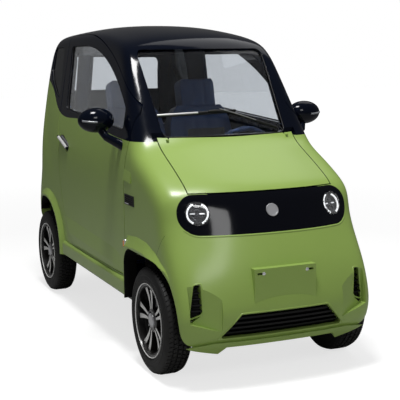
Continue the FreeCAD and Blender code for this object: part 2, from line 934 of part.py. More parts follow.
marker_outline = [
    (marker_y - marker_half, size("marker_bottom")), (marker_y + marker_half, size("marker_bottom") + 4),
    (marker_y + marker_half, size("marker_bottom") + size("marker_height")),
    (marker_y - marker_half, size("marker_bottom") + size("marker_height")),
]
marker_foot = size("half_width") - size("trim_depth")
fender = fender.fuse([flare.cut(bumper_zone), fender_ledge]).cut(trim_room)
fender = fender.cut(prism_x([(y + math.copysign(fit, y - marker_y), z + math.copysign(fit, z - size("marker_bottom") - 15))
                             for y, z in marker_outline], marker_foot, far))
fender = fender.fuse(arms)
add_pair("fender", fender)
trim = box(size("half_width") - size("trim_depth"), size("half_width") + 1.5, from_front(size("trim_front")),
           from_front(size("trim_rear")), size("trim_bottom"), size("trim_top"))
fin_step = (size("trim_top") - size("trim_bottom")) / (size("trim_fins") + 1)
for index in range(int(size("trim_fins"))):
    z = size("trim_bottom") + fin_step * (index + 1)
    trim = trim.cut(box(size("half_width") - 4, far, from_front(size("trim_front")) + 8,
                        from_front(size("trim_rear")) - 8, z - fin_step / 4, z + fin_step / 4))
add_node("fender_trims", Part.makeCompound([trim, mirrored(trim)]))
marker = prism_x(marker_outline, marker_foot + fit, size("half_width") + size("flare_stand") + 1.5, 3)
add_node("side_markers", Part.makeCompound([marker, mirrored(marker)]))

sill_zone = box(0, far, from_front(size("door_front") + 40), from_rear(-600), size("sill_bottom"),
                size("door_bottom") - gap)
sill = wall_shell.common(sill_zone)
rail = box(size("half_width") - 45, size("half_width") + size("sill_stand"), from_front(345), from_rear(-358),
           size("sill_bottom") + 2, size("sill_top"))
rail = rounded(rail, (0, 1, 0), size("sill_round"))
middle_rail = rail.common(box(0, far, from_front(size("door_front") + 40), from_rear(-600), 0, far))
sill = sill.fuse([middle_rail, rail.cut(body_volume(-fit))])
add_node("sills", Part.makeCompound([sill, mirrored(sill)]))

quarter_zone = box(0, far, from_rear(-600), far, size("sill_bottom"), far)
rear_bumper_zone = box(-far, far, from_rear(size("rear_arch_reach") - 60), far, 0, size("rear_bumper_top"))
quarter = wall_shell.common(quarter_zone).cut(lower_cut).cut(door_cut).cut(rear_wells)
quarter = quarter.cut(tailgate_cut).cut(rear_bumper_zone)
quarter = quarter.cut(box(-far, 200, -far, far, 0, far))
quarter = max(quarter.Solids, key=lambda solid: solid.Volume)
rear_ledge = ledge.common(box(0, far, from_rear(-600), from_rear(400), 0, far)).cut(door_cut)
quarter = quarter.fuse([rear_flare().cut(rear_bumper_zone), rear_ledge])
lamp_x = size("tail_lamp_offset")
lamp_z = size("tail_lamp_height")
lamp_cut = cylinder_y(size("tail_lamp_radius"), from_rear(100), far, lamp_x, lamp_z)
tail_lamp_solid = wall_shell.common(
    cylinder_y(size("tail_lamp_radius") - fit, from_rear(100), far, lamp_x, lamp_z))
quarter = quarter.cut(lamp_cut)
add_pair("quarter", max(quarter.Solids, key=lambda solid: solid.Volume))
add_node("tail_lamps", Part.makeCompound([tail_lamp_solid, mirrored(tail_lamp_solid)]))

rear_bumper = wall_shell.common(rear_bumper_zone).cut(rear_wells).cut(mirrored(rear_wells))
rear_bumper = rear_bumper.cut(tailgate_cut)
add_node("rear_bumper", max(rear_bumper.Solids, key=lambda solid: solid.Volume))

# Roof with its pillars
roof = wall_shell.common(upper_cut.fuse(cowl_zone(0))).cut(frame_room)
roof = roof.cut(tailgate_cut).cut(bonnet_cut).cut(screen_prism(0))
roof = roof.cut(quarter_window_prism(0, 250, 700)).cut(quarter_window_prism(0, -700, -250))
roof = max(roof.Solids, key=lambda solid: solid.Volume)
add_node("windscreen", glass_shell.common(screen_prism(-fit)))
side_glass = glass_shell.common(quarter_window_prism(-fit, 250, 700)).cut(tailgate_cut)
add_node("quarter_glass", Part.makeCompound([side_glass, mirrored(side_glass)]))

# The first point of a volume met by a line along the car, coming from the nose or from the tail.
def surface_y(volume, x, z, from_nose=True):
    line = Part.makeLine(Vector(x, -far, z), Vector(x, far, z))
    ends = [vertex.Y for vertex in volume.common(line).Vertexes]
    return min(ends) if from_nose else max(ends)


def surface_z(volume, x, y):
    line = Part.makeLine(Vector(x, y, ground + 10), Vector(x, y, far))
    return max(vertex.Z for vertex in volume.common(line).Vertexes)


# A lid's hinge: an eye on the fixed side, and beside it an eye with a pin on the lid.
def lid_hinge(x, y, z, fixed_arm, lid_arm):
    width = size("lid_eye_width")
    radius = size("lid_eye_radius")
    pin_radius = size("lid_pin_radius")
    fixed = cylinder_x(radius, x, x + width, y, z).fuse(fixed_arm)
    fixed = fixed.cut(cylinder_x(pin_radius + 0.05, x - 50, x + width + 50, y, z))
    moving = cylinder_x(radius, x + width + 0.5, x + 2 * width, y, z).fuse(lid_arm)
    pin_shape = cylinder_x(pin_radius, x, x + 2 * width, y, z)
    return fixed, moving.fuse(pin_shape)


# Bonnet, tailgate, bumper and lamps
width = size("lid_eye_width")
clear_radius = size("lid_eye_radius") + gap
bonnet = skin_shell.common(bonnet_prism(0)).common(box(-far, far, -far, from_front(300), 0, far))
bonnet = max(bonnet.Solids, key=lambda solid: solid.Volume)
x = size("bonnet_hinge_offset")
edge_y = from_front(size("cowl_setback") - 2) + size("bonnet_crown") * (x / size("bonnet_half")) ** 2
y = edge_y + size("bonnet_hinge_setback")
z = surface_z(outer, x, edge_y) - size("bonnet_hinge_depth")
fixed_arm = box(x, x + width, y - 5, y + 5, z - 26, z)
lid_arm = box(x + width + 0.5, x + 2 * width, y - 28, y, z - 4, z + 4)
fixed, moving = lid_hinge(x, y, z, fixed_arm, lid_arm)
trough = bonnet_prism(gap + 18).common(outer.cut(body_volume(size("cowl_trough"))))
eye_room = cylinder_x(clear_radius, x - gap, x + 2 * width + gap, y, z)
roof = roof.cut(trough).cut(eye_room).cut(mirrored(eye_room))
roof = roof.fuse([fixed, mirrored(fixed)])
add_node("bonnet", bonnet.cut(cylinder_x(clear_radius, x - gap, x + width, y, z)).cut(
    mirrored(cylinder_x(clear_radius, x - gap, x + width, y, z))).fuse([moving, mirrored(moving)]))

tailgate = wall_shell.common(tailgate_prism(0)).cut(rear_window_prism(0))
tailgate = max(tailgate.Solids, key=lambda solid: solid.Volume)
x = size("tailgate_hinge_offset")
z = size("tailgate_top") + gap / 2
y = surface_y(outer, x, z, False)
fixed_arm = box(x, x + width, y - 24, y, z - 1, z + 12)
lid_arm = box(x + width + 0.5, x + 2 * width, y - 24, y, z - 14, z + 1)
fixed, moving = lid_hinge(x, y, z, fixed_arm, lid_arm)
crown = surface_y(outer, 0, z, False) - y
crown_radius = max(clear_radius, math.hypot(crown, gap / 2) + gap)
lid_room = cylinder_x(crown_radius, -x - 2 * width - gap, x + 2 * width + gap, y, z)
fixed_room = cylinder_x(clear_radius, x - gap, x + width + 0.5, y, z)
roof = roof.cut(lid_room).fuse([fixed, mirrored(fixed)])
add_node("roof", roof)
tailgate = tailgate.cut(fixed_room).cut(mirrored(fixed_room)).fuse([moving, mirrored(moving)])
add_node("tailgate", tailgate)
add_node("rear_window", glass_shell.common(rear_window_prism(-fit)))

plate_front = from_front(size("plate_stand") - size("nose_reach"))
slot_z = size("plate_top") - size("plate_slot_drop")
slot_radius = size("plate_slot_radius")
slot_reach = size("plate_slot_length") / 2 - slot_radius
slots = []
for x in (size("plate_slot_offset"), -size("plate_slot_offset")):
    slot = box(x - slot_reach, x + slot_reach, plate_front - 1, from_front(0), slot_z - slot_radius,
               slot_z + slot_radius)
    for end_x in (x - slot_reach, x + slot_reach):
        slot = slot.fuse(cylinder_y(slot_radius, plate_front - 1, from_front(0), end_x, slot_z))
    slots.append(slot)
# Beside each vent the bumper is pressed in, below an eyebrow and above the corner's foot.
recess_level = (size("recess_top") + size("grille_top")) / 2
recess_start = size("recess_start")
recess_end = 386
start_y = surface_y(outer, recess_start, recess_level)
end_y = surface_y(outer, recess_end, recess_level) + size("recess_depth")
slope = (end_y - start_y) / (recess_end - recess_start)
recess = prism_z([(recess_start, start_y), (500, start_y + slope * (500 - recess_start)), (500, -far),
                  (recess_start, -far)], 0, size("recess_top"))
recess = recess.common(prism_y([(recess_start, 262), (recess_start, size("recess_top")), (440, size("recess_top")),
                                (440, 306)], -far, from_front(-150)))
bumper = wall_shell.common(bumper_zone).cut(slots).cut(front_wells).cut(mirrored(front_wells))
bumper = bumper.cut(lamp_panel_prism(fit)).cut(grille_prism(0)).cut([recess, mirrored(recess)])
bumper = bumper.cut(vent_prism(0)).cut(mirrored(vent_prism(0)))
notch = [
    (size("lip_notch_half"), size("lip_notch_height")), (size("lip_notch_half") + 38, ground - 1),
]
bumper = bumper.common(box(-far, far, -far, from_front(-20), 0, far))
bumper = max(bumper.Solids, key=lambda solid: solid.Volume)
lip_outline = symmetric([(480, ground - 1), (480, size("lip_top") - 22), (330, size("lip_top"))])
lip = body_volume(-size("lip_stand")).cut(body_volume(8)).common(prism_y(lip_outline, -far, from_front(-250)))
lip = lip.cut([front_wells, mirrored(front_wells)])
bumper = bumper.fuse(lip).cut(prism_y(symmetric(notch), -far, from_front(0)))
bumper_flare = flare.common(bumper_zone)
bumper = bumper.fuse([bumper_flare, mirrored(bumper_flare)])
add_node("front_bumper", max(bumper.Solids, key=lambda solid: solid.Volume))

# Behind the bumper's openings stand dark backs with level bars or fins.
back = size("wall") + fit
grille_back = body_volume(back).cut(body_volume(back + 8))
fin_shell = body_volume(size("recess_depth") + 6).cut(body_volume(back + 2))
grille_step = (size("grille_top") - size("grille_bottom")) / (size("grille_bars") + 1)
grille_fins = []
for index in range(int(size("grille_bars"))):
    z = size("grille_bottom") + grille_step * (index + 1)
    grille_fins.append(box(-far, far, -far, from_front(0), z - size("grille_bar_height") / 2,
                           z + size("grille_bar_height") / 2))
vent_fins = []
for index in range(int(size("vent_fins"))):
    z = 320 + 150 / size("vent_fins") * (index + 0.5)
    vent_fins.append(box(300, far, -far, from_front(0), z - size("vent_fin_height") / 2,
                         z + size("vent_fin_height") / 2))
centre = grille_back.common(grille_prism(10)).fuse(
    fin_shell.common(grille_prism(-fit)).common(grille_fins[0].fuse(grille_fins[1:])))
corner = grille_back.common(vent_prism(6)).fuse(
    fin_shell.common(vent_prism(-fit)).common(vent_fins[0].fuse(vent_fins[1:]))).cut(front_wells)
corner = max(corner.Solids, key=lambda solid: solid.Volume)
add_node("bumper_grille", Part.makeCompound([centre, corner, mirrored(corner)]))

lamp_holes = []
lamps = []
for side in (1, -1):
    x = side * size("lamp_offset")
    lamp_holes.append(cylinder_y(size("lamp_radius"), -far, from_front(0), x, size("lamp_height")))
    lamps.append(wall_shell.common(
        cylinder_y(size("lamp_radius") - fit, -far, from_front(0), x, size("lamp_height"))))
lamp_panel = skin_shell.common(lamp_panel_prism(0)).cut(lamp_holes[0]).cut(lamp_holes[1])
add_node("lamp_panel", max(lamp_panel.Solids, key=lambda solid: solid.Volume))
add_node("headlamps", Part.makeCompound(lamps))

plate = box(-size("plate_half"), size("plate_half"), plate_front, plate_front + 80,
            size("plate_bottom"), size("plate_top"))
add_node("plate_holder", plate.cut(slots).cut(body_volume(-fit)))

# Floor and running gear
across = Vector(1, 0, 0)
front_line = cell("axle_shift") - cell("wheelbase") / 2
rear_line = cell("axle_shift") + cell("wheelbase") / 2
floor = cell("floor_height")
plate_top = floor + cell("floor_thickness")
floor_z = size("floor_height")
sheet_thickness = size("floor_thickness")
bulkhead = front_line + cell("bulkhead_setback")
bulkhead_y = bulkhead.value
step = rear_line - cell("rear_step_reach")
wide = cell("floor_half")
narrow = cell("front_floor_half")
raised = cell("rear_floor_height")
raised_half = cell("rear_floor_half")
nose_end = front_line - cell("front_floor_reach")
floor_parts = [
    block("floor_main", -wide, wide, bulkhead, step, floor, plate_top),
    block("floor_nose", -narrow, narrow, nose_end, bulkhead, floor, plate_top),
    block("bulkhead", -(wide - 32), wide - 32, bulkhead - 15, bulkhead, floor, cell("bulkhead_height") - fit),
    block("floor_rear", -raised_half, raised_half, step - 20, rear_line + cell("rear_floor_reach"),
          raised, raised + cell("floor_thickness")),
    block("floor_riser", -raised_half, raised_half, step - 20, step, floor, raised + cell("floor_thickness")),
    block("inner_wall_left", narrow - 12, narrow, front_line - cell("inner_wall_reach"), bulkhead, floor, 660),
    block("inner_wall_right", -narrow, -(narrow - 12), front_line - cell("inner_wall_reach"), bulkhead, floor, 660),
    block("strut_seat_left", narrow, narrow + 150, front_line - 50, front_line + 50, 640, 652),
    block("strut_seat_right", -(narrow + 150), -narrow, front_line - 50, front_line + 50, 640, 652),
]
keep(joined("floor_pan", floor_parts))

battery_middle = (bulkhead + step) / 2
battery_reach = cell("battery_length") / 2
keep(block("battery_block", -cell("battery_half"), cell("battery_half"), battery_middle - battery_reach,
           battery_middle + battery_reach, floor - cell("battery_height"), floor))

axle_z = size("tyre_radius")
axle_level = cell("tyre_radius")
hub_face = cell("hub_face")
hub_back = hub_face - 8
motor_front = rear_line - 100
axle_parts = [
    bar("axle_beam", cell("axle_beam_radius"), hub_back * 2, (-hub_back, rear_line, axle_level), across),
    block("motor", -(cell("motor_width") / 2), cell("motor_width") / 2, motor_front, motor_front + cell("motor_length"),
          axle_level - 85, axle_level - 85 + cell("motor_height")),
]
for side, label in ((1, "left"), (-1, "right")):
    x = cell("spring_offset") * side
    start = hub_back if side > 0 else -hub_face
    axle_parts += [
        block("spring_" + label, x - 25, x + 25, rear_line - 330, rear_line + 260, axle_level + 28, axle_level + 42),
        block("spring_front_" + label, x - 25, x + 25, rear_line - 335, rear_line - 318, axle_level + 28, raised),
        block("spring_rear_" + label, x - 25, x + 25, rear_line + 225, rear_line + 242, axle_level + 28, raised),
        bar("rear_hub_" + label, cell("hub_radius"), 8, (start, rear_line, axle_level), across),
    ]
keep(joined("rear_axle", axle_parts))

kingpin_bottom = Vector(size("kingpin_foot"), front_axle_y, size("kingpin_bottom"))
kingpin_top = Vector(size("kingpin_foot") - size("kingpin_lean"), front_axle_y, size("kingpin_top"))
kingpin = kingpin_top - kingpin_bottom
strut_start = kingpin_bottom + kingpin.normalize() * 18
strut_length = (kingpin_top - strut_start).Length - 3.25
strut = bar("strut_left", cell("strut_radius"), strut_length, strut_start, kingpin)
spindle_start = cell("kingpin_foot") - 28
knuckle_parts = [
    strut,
    bar("spindle_left", cell("spindle_radius"), hub_back - spindle_start, (spindle_start, front_line, axle_level), across),
    bar("front_hub_left", cell("hub_radius"), 8, (hub_back, front_line, axle_level), across),
    block("steering_arm_left", 375, 395, front_line, front_line + 95, axle_level - 40, axle_level - 26),
]
knuckle = keep(joined("knuckle_left", knuckle_parts))
keep(other_side("knuckle_right", knuckle))
link_end = cell("kingpin_foot") + cell("strut_radius")
front_parts = [
    block("subframe", -235, 235, front_line - 35, front_line + 35, 190, floor),
    block("links", -link_end, link_end, front_line - 22, front_line + 22, 170, 192),
    bar("rack", 16, 460, (-230, front_line + 90, axle_level - 33), across),
    block("rack_foot_left", 135, 165, front_line + 30, front_line + 95, 200, floor),
    block("rack_foot_right", -165, -135, front_line + 30, front_line + 95, 200, floor),
]
keep(joined("front_axle", front_parts))

# Wheels: each half-section stands in a sketch and is turned about the axle.


def profile_sketch(body, name, points):
    sketch = body.newObject("Sketcher::SketchObject", name)
    plane = [item for item in body.Origin.OriginFeatures if item.Role == "XZ_Plane"][0]
    sketch.AttachmentSupport = [(plane, "")]
    sketch.MapMode = "FlatFace"
    places = [Vector(measure(x).value, measure(z).value, 0) for x, z in points]
    count = len(points)
    for index in range(count):
        sketch.addGeometry(Part.LineSegment(places[index], places[(index + 1) % count]))
    for index, point in enumerate(points):
        sketch.addConstraint(Sketcher.Constraint("Coincident", index, 2, (index + 1) % count, 1))
        for letter, kind, distance in (("x", "DistanceX", point[0]), ("z", "DistanceY", point[1])):
            distance = measure(distance)
            number = sketch.addConstraint(Sketcher.Constraint(kind, -1, 1, index, 1, distance.value))
            sketch.renameConstraint(number, "%s%d" % (letter, index))
            sketch.setExpression("Constraints.%s%d" % (letter, index), distance.text)
    return sketch


def revolved_body(name, points, axle_line):
    body = document.addObject("PartDesign::Body", name)
    sketch = profile_sketch(body, name + "_profile", points)
    turn = body.newObject("PartDesign::Revolution", name + "_turn")
    turn.Profile = sketch
    turn.ReferenceAxis = (sketch, ["H_Axis"])
    turn.Angle = 360
    body.setExpression("Placement.Base.y", axle_line.text)
    body.setExpression("Placement.Base.z", "sizes.tyre_radius")
    return body


half = cell("tyre_width") / 2
middle = cell("wheel_centre")
inner_side = middle - half
outer_side = middle + half
tread = cell("tyre_radius")
seat = cell("rim_seat_radius")
lip = cell("rim_radius")
bead = cell("bead_inset")
free = cell("fit_gap")


def tyre_body(name, axle_line):
    bulge = seat + (tread - seat) / 2
    return revolved_body(name, [
        (inner_side + bead, seat + free), (inner_side + bead, lip + free), (inner_side + 3, lip + 4),
        (inner_side, bulge), (inner_side + 7, tread - 18), (inner_side + 24, tread - 3), (middle, tread),
        (outer_side - 24, tread - 3), (outer_side - 7, tread - 18), (outer_side, bulge), (outer_side - 3, lip + 4),
        (outer_side - bead, lip + free), (outer_side - bead, seat + free),
    ], axle_line)


# The rim is a barrel with a shallow disc; windows between the spoke pairs and slits within them go through.
def rim_body(name, axle_line):
    wall = cell("rim_wall")
    face = cell("dish_front")
    back = face - cell("spoke_depth")
    boss = cell("hub_radius") + 8
    body = revolved_body(name, [
        (inner_side + 2, lip), (inner_side + bead - free, lip), (inner_side + bead - free, seat),
        (outer_side - bead + free, seat), (outer_side - bead + free, lip), (outer_side - 2, lip),
        (outer_side - 5, seat - wall), (face + 6, seat - wall - 2), (face, boss), (face, 0), (back, 0), (back, boss),
        (back + 6, seat - wall), (inner_side + 4, seat - wall),
    ], axle_line)
    document.recompute()
    slit = cell("pair_angle") - cell("spoke_angle")
    window = measure(360) / cell("spoke_pairs") - cell("pair_angle") - cell("spoke_angle")
    window_start = cell("pair_angle") / 2 + cell("spoke_angle") / 2
    axis = [item for item in body.Origin.OriginFeatures if item.Role == "X_Axis"][0]
    for label, start, opening in (("slit", -(slit / 2), slit), ("window", window_start, window)):
        cutter = body.newObject("PartDesign::SubtractiveCylinder", name + "_" + label)
        cutter.setExpression("Radius", (seat - wall).text)
        cutter.setExpression("Angle", opening.text)
        cutter.Height = 60
        turned = FreeCAD.Rotation(across, start.value).multiply(FreeCAD.Rotation(Vector(0, 0, 1), across))
        cutter.Placement = FreeCAD.Placement(Vector(size("dish_front") - 40, 0, 0), turned)
        document.recompute()
        pattern = body.newObject("PartDesign::PolarPattern", name + "_" + label + "s")
        pattern.Originals = [cutter]
        pattern.Axis = (axis, [""])
        pattern.Angle = 360
        pattern.setExpression("Occurrences", "sizes.spoke_pairs")
        body.Tip = pattern
        document.recompute()
    boss_solid = body.newObject("PartDesign::AdditiveCylinder", name + "_boss")
    boss_solid.setExpression("Radius", boss.text)
    boss_solid.setExpression("Height", (face - hub_face - free).text)
    boss_solid.Placement = FreeCAD.Placement(Vector(size("hub_face") + fit, 0, 0), FreeCAD.Rotation(Vector(0, 0, 1), across))
    return body


for end, axle_line in (("front", front_line), ("rear", rear_line)):
    for kind, maker in (("tyre", tyre_body), ("rim", rim_body)):
        left = keep(maker(kind + "_" + end + "_left", axle_line))
        keep(other_side(kind + "_" + end + "_right", left))

# Cabin
dash_outline = [
    (from_front(200), 800), (from_front(200), 960), (from_front(300), 985), (from_front(450), 975),
    (from_front(480), 900), (from_front(400), 720), (bulkhead_y + 20, 700), (bulkhead_y - 40, 700),
    (bulkhead_y - 40, 800),
]
dash = prism_x(dash_outline, -370, 370, 15)
wheel_centre = Vector(size("steering_wheel_offset"), from_front(size("steering_wheel_setback")),
                      size("steering_wheel_height"))
tilt = math.radians(size("steering_wheel_tilt"))
column_axis = Vector(0, math.cos(tilt), math.sin(tilt))
column = rod(size("column_radius"), wheel_centre - column_axis * 260, wheel_centre - column_axis * 45)
dash = dash.common(body_volume(size("wall") + 2)).cut(rod(size("column_radius") + 60, wheel_centre - column_axis * 45,
                                                           wheel_centre + column_axis * 60))
add_node("dashboard", dash.fuse(column))
ring = Part.makeTorus(size("steering_wheel_radius"), size("steering_wheel_rim"), wheel_centre, column_axis)
hub = rod(48, wheel_centre - column_axis * 30, wheel_centre + column_axis * 6)
bars = []
for angle in (0, 180, 270):
    direction = Vector(math.cos(math.radians(angle)), 0, 0)
    across = Vector(1, 0, 0) * math.cos(math.radians(angle))
    upright = column_axis.cross(Vector(1, 0, 0)) * math.sin(math.radians(angle))
    direction = across + upright
    bars.append(rod(9, wheel_centre, wheel_centre + direction * size("steering_wheel_radius")))
shaft = rod(10, wheel_centre - column_axis * (45 - fit), wheel_centre)
add_node("steering_wheel", ring.fuse([hub] + bars + [shaft]))


def seat_shape(x):
    half = size("seat_width") / 2
    front = from_front(size("seat_front"))
    rear = front + size("seat_depth")
    thickness = size("seat_back_thickness")
    cushion = box(x - half, x + half, front, rear, size("seat_height") - 120, size("seat_height"))
    base = box(x - half + 40, x + half - 40, front + 40, rear - 40,
               floor_z + sheet_thickness + fit, size("seat_height") - 120)
    shoulder = size("seat_top") - 170
    outline = [
        (x - half, size("seat_height") - 100), (x - half + 10, shoulder), (x - 110, shoulder + 70),
        (x - 95, size("seat_top")), (x + 95, size("seat_top")), (x + 110, shoulder + 70),
        (x + half - 10, shoulder), (x + half, size("seat_height") - 100),
    ]
    back = prism_y(outline, rear - 30, rear - 30 + thickness, 25)
    back.rotate(Vector(x, rear, size("seat_height") - 100), Vector(1, 0, 0), -size("seat_recline"))
    return cushion.fuse([base, back])


add_node("front_seats", Part.makeCompound([seat_shape(size("seat_offset")), seat_shape(-size("seat_offset"))]))
bench_floor = raised + cell("floor_thickness") + fit
keep(joined("rear_bench", [
    block("bench_cushion", -330, 330, rear_line - 300, rear_line + 100, bench_floor, bench_floor + 150),
    block("bench_back", -330, 330, rear_line + 20, rear_line + 110, bench_floor, 1020),
]))

# Mirrors, handles and wiper
half_length = size("mirror_half_length")
mirror_middle = Vector(size("mirror_offset"), from_front(size("mirror_setback")), size("mirror_height"))
oval = Part.Ellipse(mirror_middle, half_length, size("mirror_half_height"))
ends = [mirror_middle - Vector(half_length, 0, 0), mirror_middle + Vector(half_length, 0, 0)]
profile = Part.Wire([Part.ArcOfEllipse(oval, 0, math.pi).toShape(), Part.makeLine(ends[0], ends[1])])
mirror_head = Part.Face(profile).revolve(mirror_middle, Vector(1, 0, 0), 360).toNurbs()
mirror_head = mirror_head.cut(box(0, far, mirror_middle.y + 22, far, 0, far))
foot = Vector(448, from_front(412), 1004)
elbow = Vector(540, from_front(452), 1058)
neck = Vector(size("mirror_offset") - 12, from_front(size("mirror_setback")) - 4, size("mirror_height") - 36)
foot_radius = size("mirror_arm_foot")
neck_radius = size("mirror_arm_neck")
mirror_arm = Part.makeCone(foot_radius, neck_radius, (elbow - foot).Length, foot, elbow - foot)
mirror_arm = mirror_arm.fuse([Part.makeSphere(neck_radius, elbow), rod(neck_radius, elbow, neck)])
mirror = mirror_head.fuse(mirror_arm).cut(body_volume(-fit))
add_pair("mirror", max(mirror.Solids, key=lambda solid: solid.Volume))
liner = prism_x([(y, z) for y, z in handle_outline], handle_foot + fit, handle_foot + 3, 22)
liner = liner.common(prism_x([(from_rear(-504) + 2, 900), (from_rear(-230) - 2, 900), (from_rear(-230) - 2, 1000),
                              (from_rear(-504) + 2, 1000)], 400, 700))
grip_ends = [Vector(handle_foot + 12, from_rear(-462), 926), Vector(handle_foot + 12, from_rear(-272), 984)]
grip = rod(size("handle_bar_radius"), grip_ends[0], grip_ends[1])
for end in grip_ends:
    toward = (grip_ends[1] - grip_ends[0]).normalize() * (14 if end is grip_ends[0] else -14)
    post_top = end + toward
    grip = grip.fuse(rod(6, Vector(handle_foot + 1, post_top.y, post_top.z), post_top))
add_pair("door_handle", liner.fuse(grip))


# The wiper lies along the foot of the windscreen: a spindle, an arm and a blade that follows the glass.
def on_screen(x, z, lift):
    return Vector(x, surface_y(glass_outer, x, z) - lift, z)


blade_points = [on_screen(x, 1158 + 0.04 * x, 7) for x in (-320, -220, -110, 0, 100)]
blade = [rod(5, start, end) for start, end in zip(blade_points, blade_points[1:])]
spindle_top = on_screen(276, 1090, 12)
spindle_foot = on_screen(276, 1084, -4)
knee = on_screen(-60, 1170, 16)
wiper = rod(8, spindle_foot, spindle_top).fuse([rod(5.5, spindle_top, knee), rod(5.5, knee, blade_points[2])] + blade)
wiper = wiper.cut(glass_outer)
add_node("wiper", max(wiper.Solids, key=lambda solid: solid.Volume))

document.recompute()

problems = []
for item in document.Objects:
    if "Invalid" in item.State or "Error" in item.State:
        problems.append(item.Name + " has failed")
for node in nodes:
    shape = node.Shape
    if shape.isNull() or not shape.isValid() or not shape.Solids:
        problems.append(node.Label + " has no valid solid")
if problems:
    raise RuntimeError("; ".join(problems))
os.makedirs("parts", exist_ok=True)
for node in nodes:
    node.Shape.exportStep(os.path.join("parts", node.Label + ".step"))
    bounds = node.Shape.BoundBox
    print("%-20s solids %d faces %d volume %.0f cm3 y %.0f..%.0f z %.0f..%.0f" % (
        node.Label, len(node.Shape.Solids), len(node.Shape.Faces), node.Shape.Volume / 1000,
        bounds.YMin, bounds.YMax, bounds.ZMin, bounds.ZMax))
print("nodes", len(nodes))
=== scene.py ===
import bmesh
import bpy
import math
from mathutils import Matrix, Vector
from mathutils.bvhtree import BVHTree


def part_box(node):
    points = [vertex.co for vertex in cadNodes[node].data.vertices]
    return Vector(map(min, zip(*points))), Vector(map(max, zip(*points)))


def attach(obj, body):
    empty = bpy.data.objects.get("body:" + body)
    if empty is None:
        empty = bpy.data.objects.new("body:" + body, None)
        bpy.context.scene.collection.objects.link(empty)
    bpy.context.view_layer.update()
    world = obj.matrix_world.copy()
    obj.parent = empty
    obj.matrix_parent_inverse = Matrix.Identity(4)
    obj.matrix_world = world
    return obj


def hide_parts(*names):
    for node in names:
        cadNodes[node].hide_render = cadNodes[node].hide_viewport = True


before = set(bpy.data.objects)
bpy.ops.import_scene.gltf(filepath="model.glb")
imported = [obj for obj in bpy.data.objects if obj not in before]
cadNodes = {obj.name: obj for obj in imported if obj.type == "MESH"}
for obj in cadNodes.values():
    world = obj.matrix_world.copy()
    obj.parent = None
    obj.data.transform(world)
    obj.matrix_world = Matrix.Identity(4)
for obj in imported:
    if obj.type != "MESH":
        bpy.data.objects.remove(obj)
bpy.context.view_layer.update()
bpy.ops.object.select_all(action="DESELECT")
sides = {"left": 1, "right": -1}


def middleOf(node):
    low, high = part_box(node)
    return (low + high) / 2


axleY = {end: middleOf("tyre_" + end + "_left").y for end in ("front", "rear")}
wheelCentre = middleOf("tyre_front_left")
tyreLow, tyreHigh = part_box("tyre_front_left")
print("frame loaded:", len(cadNodes), "nodes")

# Camera, floor and light

cameraSettings = {
    "location": (-1.978, axleY["front"] - 4.040, 1.441),
    "yaw": 23.23,
    "pitch": 8.44,
    "roll": -0.71,
    "lens": 87.08,
}


def addCamera():
    values = cameraSettings
    bpy.ops.object.camera_add(location=values["location"])
    camera = bpy.context.object
    turn = Matrix.Rotation(math.radians(-values["yaw"]), 3, "Z")
    turn = turn @ Matrix.Rotation(math.radians(90 - values["pitch"]), 3, "X")
    turn = turn @ Matrix.Rotation(math.radians(values["roll"]), 3, "Z")
    camera.rotation_euler = turn.to_euler()
    camera.data.lens = values["lens"]
    camera.data.clip_end = 200
    bpy.context.scene.camera = camera


studio = {
    "floorColor": (0.42, 0.42, 0.42, 1),
    "floorSize": 60,
    "floorLift": 0.72,
    "floorFade": (3.0, 9.0),
    "ambient": 0.19,
    "reflected": 0.09,
    "lights": [
        {"name": "topPanel", "at": (-0.80, -1.35, 5.6), "aim": (0, -0.3, 0.6), "size": 1.2, "power": 222},
        {"name": "skyPanel", "at": (2.6, 1.6, 5.2), "aim": (0, -0.4, 0.8), "size": 3.0, "power": 29},
        {"name": "frontPanel", "at": (-0.5, -7.2, 4.6), "aim": (0, -0.6, 0.7), "size": 1.8, "power": 80},
    ],
}


# Each input is a plain value or another node's socket.
def setInputs(tree, node, inputs):
    for socket, value in dict(inputs).items():
        if isinstance(value, bpy.types.NodeSocket):
            tree.links.new(value, node.inputs[socket])
        else:
            node.inputs[socket].default_value = value


def addNode(tree, kind, inputs=(), **settings):
    node = tree.nodes.new("ShaderNode" + kind)
    for name, value in settings.items():
        setattr(node, name, value)
    setInputs(tree, node, inputs)
    return node


def mathNode(tree, operation, *values):
    return addNode(tree, "Math", enumerate(values), operation=operation).outputs[0]


def objectCoordinates(tree):
    return addNode(tree, "TexCoord").outputs["Object"]


def newMaterial(name):
    material = bpy.data.materials.new(name)
    material.use_nodes = True
    tree = material.node_tree
    return material, tree, tree.nodes["Principled BSDF"]


# One where the camera looks straight or through glass, otherwise zero.
def seenDirectly(tree):
    path = addNode(tree, "LightPath")
    return mathNode(tree, "MAXIMUM", path.outputs["Is Camera Ray"], path.outputs["Is Transmission Ray"])


def addFloor():
    bpy.ops.mesh.primitive_plane_add(size=studio["floorSize"], location=(0, 0, 0))
    floor = bpy.context.object
    floor.name = "floor"
    material, tree, shader = newMaterial("studioFloor")
    reach = addNode(tree, "VectorMath", {0: objectCoordinates(tree)}, operation="LENGTH").outputs["Value"]
    near, far = studio["floorFade"]
    fade = addNode(tree, "MapRange", {"Value": reach, "From Min": near, "From Max": far,
                                      "To Min": studio["floorLift"], "To Max": 1})
    lift = mathNode(tree, "MULTIPLY", seenDirectly(tree), fade.outputs["Result"])
    setInputs(tree, shader, {"Base Color": studio["floorColor"], "Roughness": 0.9, "Specular IOR Level": 0.1,
                             "Emission Color": (1, 1, 1, 1), "Emission Strength": lift})
    floor.data.materials.append(material)


